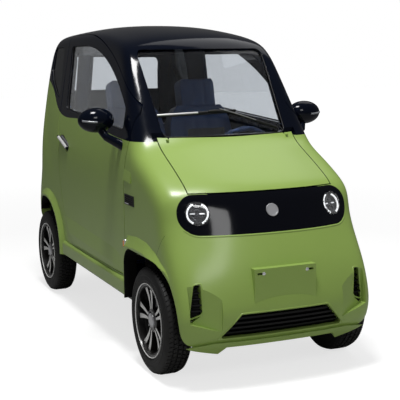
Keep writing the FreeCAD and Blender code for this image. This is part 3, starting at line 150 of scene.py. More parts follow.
def addWorld():
    world = bpy.data.worlds.new("studioWorld")
    bpy.context.scene.world = world
    world.use_nodes = True
    tree = world.node_tree
    glossy = addNode(tree, "LightPath").outputs["Is Glossy Ray"]
    unseen = addNode(tree, "MapRange", {"Value": glossy, "To Min": studio["ambient"],
                                        "To Max": studio["reflected"]}).outputs["Result"]
    strength = addNode(tree, "MapRange", {"Value": seenDirectly(tree), "To Min": unseen, "To Max": 1})
    setInputs(tree, tree.nodes["Background"], {"Color": (1, 1, 1, 1), "Strength": strength.outputs["Result"]})


def addLights():
    for values in studio["lights"]:
        bpy.ops.object.light_add(type="AREA", location=values["at"])
        light = bpy.context.object
        light.name = values["name"]
        light.data.size = values["size"]
        light.data.energy = values["power"]
        toAim = Vector(values["aim"]) - Vector(values["at"])
        light.rotation_euler = toAim.to_track_quat("-Z", "Y").to_euler()


bpy.context.scene.view_settings.view_transform = "Standard"
addCamera()
addFloor()
addWorld()
addLights()
print("camera and studio ready")

# Shader node groups that several finishes share


def newGroup(name, inputs, outputs):
    tree = bpy.data.node_groups.new(name, "ShaderNodeTree")
    for label, kind, value in inputs:
        socket = tree.interface.new_socket(name=label, in_out="INPUT", socket_type="NodeSocket" + kind)
        socket.default_value = value
    for label, kind in outputs:
        tree.interface.new_socket(name=label, in_out="OUTPUT", socket_type="NodeSocket" + kind)
    return tree, tree.nodes.new("NodeGroupInput").outputs, tree.nodes.new("NodeGroupOutput")


def useGroup(tree, group, inputs):
    return addNode(tree, "Group", inputs, node_tree=group)


def noiseOn(tree, coordinates, scale, detail):
    return addNode(tree, "TexNoise", {"Vector": coordinates, "Scale": scale, "Detail": detail}).outputs["Fac"]


# Slow change of tone and roughness over a surface, as handling and age give it.
def makeToneGroup():
    tree, given, end = newGroup(
        "toneShift",
        [("Color", "Color", (1, 1, 1, 1)), ("Scale", "Float", 4.0), ("Amount", "Float", 0.1),
         ("Roughness", "Float", 0.4), ("Spread", "Float", 0.08)],
        [("Color", "Color"), ("Roughness", "Float")],
    )
    noise = noiseOn(tree, objectCoordinates(tree), given["Scale"], 3.0)
    centred = mathNode(tree, "SUBTRACT", noise, 0.5)
    value = mathNode(tree, "MULTIPLY_ADD", centred, given["Amount"], 1.0)
    tone = addNode(tree, "HueSaturation", {"Color": given["Color"], "Value": value})
    rough = mathNode(tree, "MULTIPLY_ADD", centred, given["Spread"], given["Roughness"])
    setInputs(tree, end, {"Color": tone.outputs["Color"], "Roughness": rough})
    return tree


# Fine relief: grain of a moulding, ripple of a paint film or tooling marks.
def makeReliefGroup():
    tree, given, end = newGroup("fineRelief", [("Scale", "Float", 300.0), ("Height", "Float", 0.0002)],
                                [("Normal", "Vector")])
    noise = noiseOn(tree, objectCoordinates(tree), given["Scale"], 2.0)
    bump = addNode(tree, "Bump", {"Strength": 1.0, "Distance": given["Height"], "Height": noise})
    setInputs(tree, end, {"Normal": bump.outputs["Normal"]})
    return tree


# Road dust that settles near the ground and thins out upwards.
def makeDustGroup():
    tree, given, end = newGroup(
        "roadDust",
        [("Color", "Color", (1, 1, 1, 1)), ("Dust", "Color", (0.12, 0.11, 0.09, 1)), ("Top", "Float", 0.5),
         ("Amount", "Float", 0.4)],
        [("Color", "Color")],
    )
    coordinates = objectCoordinates(tree)
    height = addNode(tree, "SeparateXYZ", {0: coordinates}).outputs["Z"]
    fade = addNode(tree, "MapRange", {"Value": height, "From Min": 0, "From Max": given["Top"],
                                      "To Min": 1, "To Max": 0})
    share = mathNode(tree, "MULTIPLY", fade.outputs["Result"], noiseOn(tree, coordinates, 14, 6))
    level = mathNode(tree, "MULTIPLY", share, given["Amount"])
    mix = addNode(tree, "Mix", {"Factor": level, "A": given["Color"], "B": given["Dust"]}, data_type="RGBA")
    setInputs(tree, end, {"Color": mix.outputs["Result"]})
    return tree


toneGroup = makeToneGroup()
reliefGroup = makeReliefGroup()
dustGroup = makeDustGroup()

# Finishes: tone and relief are (scale, amount), dust is (height it reaches, amount).

finishes = {
    "bodyPaint": {"color": (0.29, 0.42, 0.095), "roughness": 0.36, "coat": 0.30, "coatRoughness": 0.20, "shine": 0.35,
                  "relief": (420, 0.00002), "tone": (2.5, 0.05), "dust": (0.30, 0.25)},
    "glossBlack": {"color": (0.0020, 0.0034, 0.0085), "roughness": 0.10, "shine": 0.22,
                   "relief": (300, 0.00001), "tone": (3, 0.1)},
    "pianoBlack": {"color": (0.0022, 0.0026, 0.0050), "roughness": 0.09, "shine": 0.25,
                   "relief": (200, 0.000005), "tone": (3, 0.1)},
    "mattBlack": {"color": (0.006, 0.006, 0.007), "roughness": 0.55, "relief": (900, 0.00012), "tone": (8, 0.2),
                  "dust": (0.3, 0.2)},
    "sealRubber": {"color": (0.008, 0.008, 0.009), "roughness": 0.6, "relief": (700, 0.00006), "tone": (9, 0.2)},
    "tyreRubber": {"color": (0.0065, 0.0065, 0.0065), "roughness": 0.62, "relief": (600, 0.00015),
                   "tone": (12, 0.25), "dust": (0.5, 0.10), "shine": 0.4},
    "chassisBlack": {"color": (0.014, 0.014, 0.016), "roughness": 0.5, "relief": (350, 0.0001), "tone": (6, 0.3),
                     "dust": (0.5, 0.8)},
    "caseGrey": {"color": (0.10, 0.11, 0.12), "roughness": 0.45, "relief": (500, 0.0001), "tone": (5, 0.2),
                 "dust": (0.4, 0.8)},
    "machinedSteel": {"color": (0.42, 0.42, 0.43), "roughness": 0.35, "metallic": 1.0, "relief": (500, 0.00006),
                      "tone": (20, 0.25), "dust": (0.5, 0.5)},
    "pocketBlack": {"color": (0.006, 0.006, 0.007), "roughness": 0.3, "coat": 0.5, "coatRoughness": 0.1,
                    "relief": (500, 0.00003), "tone": (10, 0.2), "dust": (0.4, 0.2)},
    # Bright metal, also used for the painted highlights on the wiper blade and the door handle grips.
    "brightMetalAndPaintedHighlight": {"color": (0.90, 0.90, 0.91), "roughness": 0.35, "metallic": 0.4, "relief": (600, 0.00002),
                    "tone": (12, 0.05)},
    "grilleBlack": {"color": (0.0025, 0.0025, 0.003), "roughness": 0.5, "relief": (900, 0.0001), "tone": (8, 0.3),
                    "shine": 0.25},
    "archBlack": {"color": (0.004, 0.004, 0.004), "roughness": 0.8, "relief": (300, 0.0003), "tone": (8, 0.3),
                  "shine": 0.2},
    "markerGrey": {"color": (0.22, 0.23, 0.25), "roughness": 0.25, "coat": 1.0, "relief": (400, 0.00002),
                   "tone": (12, 0.1)},
    # Machined alloy, near-white and mostly diffuse: partly its own colour, partly a painted reflection of bright light.
    "alloyWithPaintedSheen": {"color": (0.95, 0.95, 0.93), "roughness": 0.3, "metallic": 0.25, "relief": (900, 0.00002),
                      "tone": (10, 0.1)},
    # Satin silver, also used for the painted highlight along the wiper arm.
    "satinSilverAndPaintedHighlight": {"color": (0.62, 0.62, 0.64), "roughness": 0.33, "metallic": 0.7, "relief": (700, 0.00003),
                    "tone": (12, 0.1)},
    "chromed": {"color": (0.86, 0.87, 0.89), "roughness": 0.16, "metallic": 0.7, "relief": (200, 0.00001),
                "tone": (6, 0.05)},
    "darkBowl": {"color": (0.03, 0.03, 0.035), "roughness": 0.25, "metallic": 0.6, "relief": (500, 0.00003),
                 "tone": (9, 0.3)},
    "lightGuide": {"color": (0.95, 0.96, 0.97), "roughness": 0.2, "relief": (300, 0.00001), "tone": (10, 0.02),
                   "glow": 0.5},
    "redLens": {"color": (0.42, 0.006, 0.008), "roughness": 0.12, "coat": 1.0, "coatRoughness": 0.03,
                "relief": (300, 0.00004), "tone": (20, 0.2)},
    "amberLens": {"color": (0.75, 0.24, 0.02), "roughness": 0.15, "coat": 1.0, "coatRoughness": 0.03,
                  "relief": (400, 0.00004), "tone": (20, 0.2)},
    "seatLeather": {"color": (0.026, 0.050, 0.125), "roughness": 0.5, "shine": 0.2, "relief": (240, 0.0003),
                    "tone": (9, 0.3)},
    "cabinTrim": {"color": (0.003, 0.007, 0.020), "roughness": 0.8, "shine": 0.04, "relief": (800, 0.00015),
                  "tone": (6, 0.2)},
}
glassKinds = {
    "clearGlass": {"color": (0.71, 0.735, 0.76), "roughness": 0.0, "bend": 1.25},
    "tintGlass": {"color": (0.022, 0.025, 0.028), "roughness": 0.0, "bend": 1.45},
    "lampLens": {"color": (0.95, 0.96, 0.97), "roughness": 0.02, "bend": 1.45},
}
materials = {}


def makeFinish(name, values):
    material, tree, shader = newMaterial(name)
    scale, amount = values["tone"]
    tone = useGroup(tree, toneGroup, {"Color": (*values["color"], 1), "Scale": scale, "Amount": amount,
                                      "Roughness": values["roughness"], "Spread": values["roughness"] * 0.3})
    color = tone.outputs["Color"]
    if "dust" in values:
        top, amount = values["dust"]
        color = useGroup(tree, dustGroup, {"Top": top, "Amount": amount, "Color": color}).outputs["Color"]
    scale, height = values["relief"]
    relief = useGroup(tree, reliefGroup, {"Scale": scale, "Height": height})
    setInputs(tree, shader, {
        "Base Color": color, "Roughness": tone.outputs["Roughness"], "Normal": relief.outputs["Normal"],
        "Metallic": values.get("metallic", 0), "Specular IOR Level": values.get("shine", 0.5),
        "Coat Weight": values.get("coat", 0), "Coat Roughness": values.get("coatRoughness", 0.05),
        "Emission Color": (1, 1, 1, 1), "Emission Strength": values.get("glow", 0),
    })
    materials[name] = material


def makeGlass(name, values):
    material, tree, shader = newMaterial(name)
    tone = useGroup(tree, toneGroup, {"Color": (*values["color"], 1), "Scale": 3, "Amount": 0.04})
    setInputs(tree, shader, {"Base Color": tone.outputs["Color"], "Transmission Weight": 1.0,
                             "IOR": values["bend"], "Roughness": values["roughness"]})
    materials[name] = material


for finishName, finishValues in finishes.items():
    makeFinish(finishName, finishValues)
for glassName, glassValues in glassKinds.items():
    makeGlass(glassName, glassValues)
print("finishes made:", len(materials))

# Finishes of the CAD nodes, by node name without its side

nodeFinishes = {
    "bodyPaint": "sills quarter fender front_bumper plate_holder rear_bumper bonnet tailgate door",
    "glossBlack": "roof door_frame door_handle mirror",
    "pianoBlack": "lamp_panel",
    "mattBlack": "wiper fender_trims",
    "grilleBlack": "bumper_grille",
    "chassisBlack": "floor_pan rear_axle front_axle",
    "caseGrey": "battery_block",
    "machinedSteel": "knuckle",
    "tyreRubber": "tyre_front tyre_rear",
    "alloyWithPaintedSheen": "rim_front rim_rear",
    "cabinTrim": "dashboard steering_wheel",
    "seatLeather": "front_seats rear_bench",
    "amberLens": "side_markers",
    "redLens": "tail_lamps",
    "lampLens": "headlamps",
    "clearGlass": "windscreen rear_window door_glass",
    "tintGlass": "quarter_glass",
}


def setFinish(piece, *names):
    piece.data.materials.clear()
    for name in names:
        piece.data.materials.append(materials[name])


def finishCadNodes():
    finishOf = {kind: finish for finish, kinds in nodeFinishes.items() for kind in kinds.split()}
    for name, node in cadNodes.items():
        setFinish(node, finishOf[name.removesuffix("_left").removesuffix("_right")])


finishCadNodes()
print("CAD nodes finished")

# Making and finishing pieces


def selectOnly(piece):
    bpy.ops.object.select_all(action="DESELECT")
    piece.select_set(True)
    bpy.context.view_layer.objects.active = piece


def startEdit(piece, mode=None):
    selectOnly(piece)
    bpy.ops.object.mode_set(mode="EDIT")
    if mode:
        bpy.ops.mesh.select_mode(type=mode)
    bpy.ops.mesh.select_all(action="SELECT")


def endEdit():
    bpy.ops.object.mode_set(mode="OBJECT")


def keepFaces(piece, test):
    startEdit(piece, "FACE")
    bpy.ops.mesh.select_all(action="DESELECT")
    for face in bmesh.from_edit_mesh(piece.data).faces:
        if not test(face):
            face.select_set(True)
    bmesh.update_edit_mesh(piece.data)
    bpy.ops.mesh.delete(type="FACE")
    endEdit()


def applyPlace():
    bpy.ops.object.transform_apply(location=True, rotation=True, scale=True)


def applyAll(piece):
    selectOnly(piece)
    applyPlace()
    for modifier in list(piece.modifiers):
        bpy.ops.object.modifier_apply(modifier=modifier.name)


def addBevel(piece, width, segments=2, angle=35):
    bevel = piece.modifiers.new("edge", "BEVEL")
    bevel.width = width
    bevel.segments = segments
    bevel.limit_method = "ANGLE"
    bevel.angle_limit = math.radians(angle)


def addWall(piece, thickness, offset=1):
    wall = piece.modifiers.new("wall", "SOLIDIFY")
    wall.thickness = thickness
    wall.offset = offset
    applyAll(piece)


def repairNormals(piece):
    startEdit(piece)
    bpy.ops.mesh.remove_doubles(threshold=0.00001)
    bpy.ops.mesh.normals_make_consistent(inside=False)
    endEdit()


def finishPiece(piece, name, finish, body, angle=35, replaced=(), repair=True):
    piece.name = name
    piece.data.name = name
    if repair:
        repairNormals(piece)
    if finish:
        setFinish(piece, finish)
    selectOnly(piece)
    bpy.ops.object.shade_smooth_by_angle(angle=math.radians(angle))
    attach(piece, body)
    if replaced:
        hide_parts(*replaced)
    return piece


def joinPieces(pieces):
    bpy.ops.object.select_all(action="DESELECT")
    for piece in pieces:
        piece.select_set(True)
    bpy.context.view_layer.objects.active = pieces[0]
    if len(pieces) > 1:
        bpy.ops.object.join()
    return bpy.context.object


def copyPiece(piece, matrix=Matrix.Identity(4)):
    mesh = piece.data.copy()
    mesh.transform(matrix)
    if matrix.determinant() < 0:
        mesh.flip_normals()
    copy = bpy.data.objects.new(piece.name, mesh)
    bpy.context.collection.objects.link(copy)
    return copy


# A copy of a CAD node's mesh, its loose triangles joined.
def nodeCopy(node):
    piece = copyPiece(cadNodes[node])
    startEdit(piece)
    bpy.ops.mesh.remove_doubles(threshold=0.00002)
    endEdit()
    return piece


# A turned part: a ring is drawn out step by step along its axis, as (place along the axis, radius).
def turned(steps, axis="X", centre=(0, 0, 0), count=64, closed=False, capped=False):
    turn = {"X": (0, math.pi / 2, 0), "Y": (math.pi / 2, 0, 0)}[axis]
    along = Vector([1 if axis == letter else 0 for letter in "XYZ"])
    here, radius = steps[0]
    bpy.ops.mesh.primitive_circle_add(vertices=count, radius=radius, location=Vector(centre) + along * here,
                                      rotation=turn, fill_type="NGON" if capped else "NOTHING")
    piece = bpy.context.object
    applyPlace()
    startEdit(piece, "EDGE")
    for there, wide in steps[1:]:
        bpy.ops.mesh.extrude_region_move(TRANSFORM_OT_translate={"value": tuple(along * (there - here))})
        scale = [1 if axis == letter else wide / radius for letter in "XYZ"]
        bpy.ops.transform.resize(value=scale, center_override=tuple(Vector(centre) + along * there))
        here, radius = there, wide
    if capped:
        bpy.ops.mesh.edge_face_add()
    if closed:
        bpy.ops.mesh.select_all(action="SELECT")
        bpy.ops.mesh.remove_doubles(threshold=0.00002)
    endEdit()
    return piece


def block(size, place, turn=(0, 0, 0), bevel=0.002, segments=2):
    bpy.ops.mesh.primitive_cube_add(size=1, location=place, rotation=turn)
    piece = bpy.context.object
    piece.scale = size
    bpy.ops.object.transform_apply(location=False, rotation=False, scale=True)
    addBevel(piece, bevel, segments)
    applyAll(piece)
    return piece


# A round bar along given points.
def tube(points, radius, resolution=4, cyclic=False, fine=3):
    curve = bpy.data.curves.new("line", "CURVE")
    curve.dimensions = "3D"
    curve.resolution_u = fine
    curve.bevel_depth = radius
    curve.bevel_resolution = resolution
    curve.use_fill_caps = True
    spline = curve.splines.new("NURBS")
    spline.points.add(len(points) - 1)
    for spot, point in zip(spline.points, points):
        spot.co = (*point, 1)
    spline.order_u = min(4, len(points))
    spline.use_endpoint_u = not cyclic
    spline.use_cyclic_u = cyclic
    piece = bpy.data.objects.new("line", curve)
    bpy.context.collection.objects.link(piece)
    selectOnly(piece)
    bpy.ops.object.convert(target="MESH")
    return bpy.context.object


surfaces = {}


# Where a line meets a node's surface, and the normal there.
def hit(node, start, direction):
    if node not in surfaces:
        mesh = cadNodes[node].data
        mesh.calc_loop_triangles()
        points = [vertex.co.copy() for vertex in mesh.vertices]
        surfaces[node] = BVHTree.FromPolygons(points, [tuple(t.vertices) for t in mesh.loop_triangles])
    return surfaces[node].ray_cast(Vector(start), Vector(direction))[:2]


def onFront(node, x, z):
    place, normal = hit(node, (x, -3, z), (0, 1, 0))
    if normal is not None and normal.y > 0:
        normal = -normal
    return place, normal


# A frame at a place, with the named axis along the normal.
def seatAt(place, normal, axis):
    return Matrix.Translation(place) @ normal.to_track_quat(axis, "Z").to_matrix().to_4x4()


def frontSeat(node, x, z):
    return seatAt(*onFront(node, x, z), "-Y")


print("tools ready")

# Wheels, modelled at the front left and copied to the four places

wheelValues = {
    "centre": wheelCentre.x, "radius": (tyreHigh.z - tyreLow.z) / 2,
    "wall": [
        (0.0415, 0.2425), (0.0525, 0.2395), (0.0585, 0.2325), (0.0625, 0.2225), (0.0640, 0.2130), (0.0655, 0.2118),
        (0.0655, 0.2092), (0.0643, 0.2078), (0.0648, 0.1960), (0.0640, 0.1950), (0.0640, 0.1905), (0.0648, 0.1895),
        (0.0632, 0.1810), (0.0608, 0.1755), (0.0565, 0.1723), (0.0565, 0.1523),
    ],
    "crown": (0.0, 0.2440), "blocks": 66, "blockLength": 0.80, "blockTop": 0.92, "blockTaper": 0.12,
    "blockLean": 0.45, "shoulder": 0.040, "shoulderDrop": 0.45, "rowShift": 0.31,
    "rows": [(-0.0445, 0.0150, 0.2400, 0.2475), (-0.0235, 0.0150, 0.2420, 0.2496), (0.0, 0.0170, 0.2425, 0.2500),
             (0.0235, 0.0150, 0.2420, 0.2496), (0.0445, 0.0150, 0.2400, 0.2475)],
    "pairs": 5, "pairTurn": 11.5, "firstTurn": -12, "spokeInner": 0.040, "spokeOuter": 0.1660, "spokeWide": 0.012,
    "spokeDeep": 0.018, "spokeRoot": 0.85, "spokeWiden": 1.55, "spokeBow": 0.0035, "spokeRise": 0.0065,
    "spokeBack": 0.006, "spokeBevel": 0.0011, "face": 0.4905, "bolts": 4, "boltCircle": 0.0425,
    "bolt": [(0, 0.0052), (0.0045, 0.0052), (0.0052, 0.0045)],
}
rimInner = tyreLow.x
rimShapes = {
    "barrel": {"count": 96, "closed": True, "steps": [
        (rimInner + 0.002, 0.1700), (rimInner + 0.0085, 0.1695), (rimInner + 0.0085, 0.1518), (0.5042, 0.1518),
        (0.5050, 0.1700), (0.5085, 0.1700), (0.5080, 0.1660), (0.4930, 0.1620), (0.4890, 0.1600), (0.4700, 0.1500),
        (0.4300, 0.1440), (0.4000, 0.1450), (rimInner + 0.006, 0.1490), (rimInner + 0.002, 0.1560),
        (rimInner + 0.002, 0.1700)]},
    "lip": {"count": 96, "closed": True, "steps": [
        (0.5060, 0.1690), (0.5066, 0.1722), (0.5105, 0.1722), (0.5118, 0.1708), (0.5112, 0.1692), (0.5085, 0.1680),
        (0.5060, 0.1690)]},
    "hub": {"count": 64, "capped": True, "steps": [
        (0.4412, 0.058), (0.4700, 0.058), (0.4880, 0.054), (0.4905, 0.050), (0.4905, 0.034)]},
    "cap": {"count": 56, "capped": True, "steps": [
        (0.4880, 0.0330), (0.4945, 0.0330), (0.4965, 0.0318), (0.4968, 0.0290), (0.4955, 0.0275), (0.4955, 0.0262),
        (0.4975, 0.0245), (0.4988, 0.0150), (0.4990, 0.0020)]},
    "disc": {"count": 72, "steps": [
        (0.4420, 0.040), (0.4420, 0.112), (0.4440, 0.114), (0.4500, 0.114), (0.4520, 0.112), (0.4520, 0.062),
        (0.4560, 0.0590), (0.4560, 0.040)]},
}


def makeTread(index, offset, width, low, high):
    values = wheelValues
    turnStep = 2 * math.pi / values["blocks"]
    lean = values["blockLean"] * (index < 2) - values["blockLean"] * (index > 2)
    bpy.ops.mesh.primitive_cube_add(size=1, location=(values["centre"] + offset, 0, (low + high) / 2))
    tread = bpy.context.object
    tread.scale = (width, turnStep * values["radius"] * values["blockLength"], high - low)
    applyPlace()
    for vertex in tread.data.vertices:
        across = vertex.co.x - values["centre"] - offset
        vertex.co.y += across * lean
        if vertex.co.z > (low + high) / 2:
            vertex.co.x -= across * values["blockTaper"]
            vertex.co.y *= values["blockTop"]
            if abs(offset) > values["shoulder"]:
                past = abs(vertex.co.x - values["centre"]) - values["shoulder"]
                vertex.co.z -= max(0, past) * values["shoulderDrop"]
    startEdit(tread)
    bpy.ops.transform.rotate(value=turnStep * values["rowShift"] * index, orient_axis="X", center_override=(0, 0, 0))
    bpy.ops.mesh.spin(steps=values["blocks"] - 1, dupli=True, angle=turnStep * (values["blocks"] - 1),
                      center=(0, 0, 0), axis=(1, 0, 0))
    endEdit()
    return tread


def makeTyre():
    values = wheelValues
    steps = [values["crown"]] + values["wall"] + [(-x, r) for x, r in reversed(values["wall"])] + [values["crown"]]
    ring = turned([(values["centre"] + x, r) for x, r in steps], count=112, closed=True)
    return joinPieces([ring] + [makeTread(index, *row) for index, row in enumerate(values["rows"])])


def makeSpokes():
    values = wheelValues
    inner, deep = values["spokeInner"], values["spokeDeep"]
    length = values["spokeOuter"] - inner
    middle = (values["spokeOuter"] + inner) / 2
    bpy.ops.mesh.primitive_cube_add(size=1, location=(values["face"] - deep / 2, 0, middle))
    spoke = bpy.context.object
    spoke.scale = (deep, values["spokeWide"], length)
    applyPlace()
    startEdit(spoke)
    bpy.ops.mesh.subdivide(number_cuts=5)
    endEdit()
    for vertex in spoke.data.vertices:
        share = min(1, max(0, (vertex.co.z - inner) / length))
        bow = values["spokeBow"] * math.sin(math.pi * share)
        vertex.co.y *= values["spokeRoot"] + values["spokeWiden"] * share ** 1.35
        vertex.co.y += bow
        front = (vertex.co.x - values["face"] + deep) / deep
        vertex.co.x += (values["spokeRise"] * share ** 2.2 - bow) * front
        vertex.co.x -= (1 - front) * values["spokeBack"] * share
    addBevel(spoke, values["spokeBevel"], 2, 50)
    applyAll(spoke)
    setFinish(spoke, "alloyWithPaintedSheen", "pocketBlack")
    for face in spoke.data.polygons:
        face.material_index = 0 if face.normal.x > 0.80 else 1  # bright alloy face, partly painted reflection; black flanks
    spokes = []
    for pair in range(values["pairs"]):
        for lean in (-1, 1):
            degrees = values["firstTurn"] + 360 / values["pairs"] * pair + lean * values["pairTurn"]
            turn = Matrix.Rotation(math.radians(degrees), 4, "X")
            spokes.append(copyPiece(spoke, turn @ Matrix.Scale(lean, 4, (0, 1, 0))))
    bpy.data.objects.remove(spoke)
    return joinPieces(spokes)


def makeBolts():
    values = wheelValues
    bolts = []
    for index in range(values["bolts"]):
        turn = 2 * math.pi * (index + 0.5) / values["bolts"]
        place = (values["face"] + 0.001, values["boltCircle"] * math.cos(turn), values["boltCircle"] * math.sin(turn))
        bolts.append(turned(values["bolt"], centre=place, count=6, capped=True))
    return joinPieces(bolts)


def makeWheels():
    parts = [
        ("tread", makeTyre(), "tyreRubber"), ("barrel", turned(**rimShapes["barrel"]), "pocketBlack"),
        ("lip", turned(**rimShapes["lip"]), "alloyWithPaintedSheen"), ("spokes", makeSpokes(), None),
        ("hub", turned(**rimShapes["hub"]), "pocketBlack"), ("cap", turned(**rimShapes["cap"]), "satinSilverAndPaintedHighlight"),
        ("bolts", makeBolts(), "machinedSteel"), ("disc", turned(**rimShapes["disc"]), "machinedSteel"),
    ]
    for label, part, finish in parts:
        if label != "spokes":
            repairNormals(part)
        for end in ("front", "rear"):
            for side, sign in sides.items():
                place = end + "_" + side
                matrix = Matrix.Translation((0, axleY[end], wheelCentre.z)) @ Matrix.Scale(sign, 4, (1, 0, 0))
                replaced = {"tread": ("tyre_" + place,), "spokes": ("rim_" + place,)}.get(label, ())
                finishPiece(copyPiece(part, matrix), label + "_" + place, finish, "wheel_" + place, 40,
                            replaced, False)
        bpy.data.objects.remove(part)
    print("wheels made")


makeWheels()

# Headlamps in the black panel: a lens over a stepped bowl, two light guides, a bar, fins and a projector

lampValues = {
    "x": 0.339, "z": middleOf("headlamps").z, "lensWall": 0.0022, "lensReach": 0.12,
    "bowl": [(0.0045, 0.0485), (0.006, 0.0465), (0.018, 0.0435), (0.019, 0.0395), (0.024, 0.0380),
             (0.026, 0.0300), (0.030, 0.0270), (0.032, 0.0080)],
    "bowlWall": 0.0015,
    "guideRadius": 0.0465, "guideThickness": 0.0042, "guideOpening": 24, "guideDepth": 0.0065,
    "barDepth": (0.006, 0.016), "bars": [(0.002, 0.066, 0.0070)],
    "fins": [(-0.010, 0.062, 0.0032), (0.014, 0.060, 0.0032)],
    "projector": [(0.010, 0.0075), (0.011, 0.0100), (0.016, 0.0125), (0.026, 0.0130)],
}


def guideArc(start, seat):
    values = lampValues
    points = []
    for index in range(17):
        turn = math.radians(start - 90 + values["guideOpening"] + (180 - 2 * values["guideOpening"]) * index / 16)
        radius = values["guideRadius"]
        points.append(seat @ Vector((radius * math.cos(turn), values["guideDepth"], radius * math.sin(turn))))
    return tube(points, values["guideThickness"], 5)


def lampBars(rows, seat):
    deep, place = lampValues["barDepth"]
    bars = []
    for level, width, thick in rows:
        bars.append(block((width, deep, thick), (0, place, level), bevel=0.001))
        bars[-1].data.transform(seat)
    return joinPieces(bars)


def makeHeadlamps():
    values = lampValues
    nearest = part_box("headlamps")[0].y + values["lensReach"]
    lens = nodeCopy("headlamps")
    keepFaces(lens, lambda face: face.normal.y < -0.25 and face.calc_center_median().y < nearest)
    addWall(lens, values["lensWall"], -1)
    finishPiece(lens, "lampLenses", "lampLens", "body", 50, ("headlamps",))
    for side, sign in sides.items():
        seat = frontSeat("headlamps", sign * values["x"], values["z"])
        bowl = turned(values["bowl"], axis="Y")
        bowl.data.transform(seat)
        addWall(bowl, values["bowlWall"], 0)
        guides = joinPieces([guideArc(start, seat) for start in (0, 180)])
        bar, fins = lampBars(values["bars"], seat), lampBars(values["fins"], seat)
        projector = turned(values["projector"], axis="Y", count=32, capped=True)
        projector.data.transform(seat)
        for piece, label, finish, slot, angle in (
            (bowl, "lampBowl_", "darkBowl", "gloss_black", 25), (guides, "lampGuides_", "lightGuide", "lamp_glass", 60),
            (bar, "lampBar_", "chromed", "lamp_glass", 30), (fins, "lampFins_", "darkBowl", "gloss_black", 30),
            (projector, "lampLight_", "darkBowl", "gloss_black", 40),
        ):
            finishPiece(piece, label + side, finish, "body", angle)
    print("headlamps made")


makeHeadlamps()

# Plain disc in the middle of the panel, and the plate screws at the inner ends of the slots

discShape = [(0.002, 0.0300), (-0.003, 0.0300), (-0.0045, 0.0285), (-0.0045, 0.0255), (-0.0030, 0.0240),
             (-0.0032, 0.0020)]
plateValues = {"slotX": 0.119, "slotZ": 0.505, "screwShift": 0.012, "screwRadius": 0.0078,
               "screw": [(0.004, 1.0), (-0.001, 1.0), (-0.0028, 0.80), (-0.0034, 0.45), (-0.0020, 0.40)]}


def makePlainDisc():
    disc = turned(discShape, axis="Y", capped=True)
    disc.data.transform(frontSeat("lamp_panel", 0.0, lampValues["z"]))
    finishPiece(disc, "plainDisc", "satinSilverAndPaintedHighlight", "body", 30)


def makePlateScrews():
    values = plateValues
    steps = [(place, values["screwRadius"] * share) for place, share in values["screw"]]
    screws = []
    for sign in sides.values():
        x = sign * (values["slotX"] - values["screwShift"])
        screws.append(turned(steps, axis="Y", centre=(x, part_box("plate_holder")[0].y, values["slotZ"]), count=32,
                             capped=True))
    finishPiece(joinPieces(screws), "plateScrews", "chromed", "body", 35)


makePlainDisc()
makePlateScrews()
print("front fittings made")

# Rolled lips around the openings of the bumper and under the lamp panel

lipValues = {
    "grille": [(-0.318, 0.2225), (-0.215, 0.3385), (0.215, 0.3385), (0.318, 0.2225)],
    "vent": [(0.375, 0.341), (0.380, 0.478), (0.4165, 0.471), (0.4385, 0.292)],
    "panelHalf": 0.4265, "panelLow": 0.668, "panelHigh": 0.838, "panelOut": 0.005, "panelTurn": (160, 110),
    "step": 0.012, "longest": 0.03, "radius": 0.0042, "sunk": 0.45,
}


def lipTube(outline, closed):
    values = lipValues
    points = []
    for (x1, z1), (x2, z2) in zip(outline, outline[1:] + (outline[:1] if closed else [])):
        count = max(1, round(math.hypot(x2 - x1, z2 - z1) / values["step"]))
        for index in range(count):
            place, normal = onFront("front_bumper", x1 + (x2 - x1) * index / count, z1 + (z2 - z1) * index / count)
            if place is None or (points and (place - points[-1]).length > values["longest"]):
                continue
            points.append(place - normal * values["radius"] * values["sunk"])
    return tube(points, values["radius"], 3, cyclic=closed, fine=1)


def makeLips():
    values = lipValues
    lips = [lipTube(values["grille"], True)]
    for sign in sides.values():
        lips.append(lipTube([(sign * x, z) for x, z in values["vent"]], True))
    radius = (values["panelHigh"] - values["panelLow"]) / 2
    reach = radius + values["panelOut"]
    first, sweep = values["panelTurn"]
    outline = []
    for index in range(13):
        turn = math.radians(first + sweep * index / 12)
        outline.append((radius - values["panelHalf"] + reach * math.cos(turn),
                        values["panelLow"] + radius + reach * math.sin(turn)))
    lips.append(lipTube(outline + [(-x, z) for x, z in reversed(outline)], False))
    finishPiece(joinPieces(lips), "openingLips", "bodyPaint", "body", 60)
    print("lips made")


makeLips()

# Wiper: a rubber, a blade dark on one half with a painted highlight on the other, a bent arm with a painted highlight
# on its top, and the pivot's cap

wiperValues = {
    "left": -0.330, "right": 0.075, "steps": 12, "level": 1.154, "rise": 0.03, "pivot": (0.272, 1.072),
    # name, from and to along x, height above the rubber, distance from the glass, radius, finish, slot, node
    "blade": [
        ("wiperRubber", (-0.34, 0.08), 0, 0.0045, 0.0042, "sealRubber", "matte_black", ("wiper",)),
        # the bright spine over the left half of the blade is a painted highlight
        ("wiperSpinePaintedHighlight", (-0.34, -0.112), 0.004, 0.0125, 0.0046, "brightMetalAndPaintedHighlight", "bare_steel", ()),
        ("wiperCover", (-0.142, 0.08), 0.004, 0.0120, 0.0050, "mattBlack", "matte_black", ()),
    ],
    "arm": [(-0.075, 1.164, 0.020), (-0.020, 1.168, 0.028), (0.06, 1.146, 0.026), (0.16, 1.112, 0.022),
            (0.272, 1.078, 0.018)],
    "cap": [(0.004, 0.0110), (-0.006, 0.0108), (-0.010, 0.0090), (-0.0125, 0.0055), (-0.0130, 0.0010)],
}


def screenPoint(x, z, lift):
    place, normal = onFront("windscreen", x, z)
    return place + normal * lift


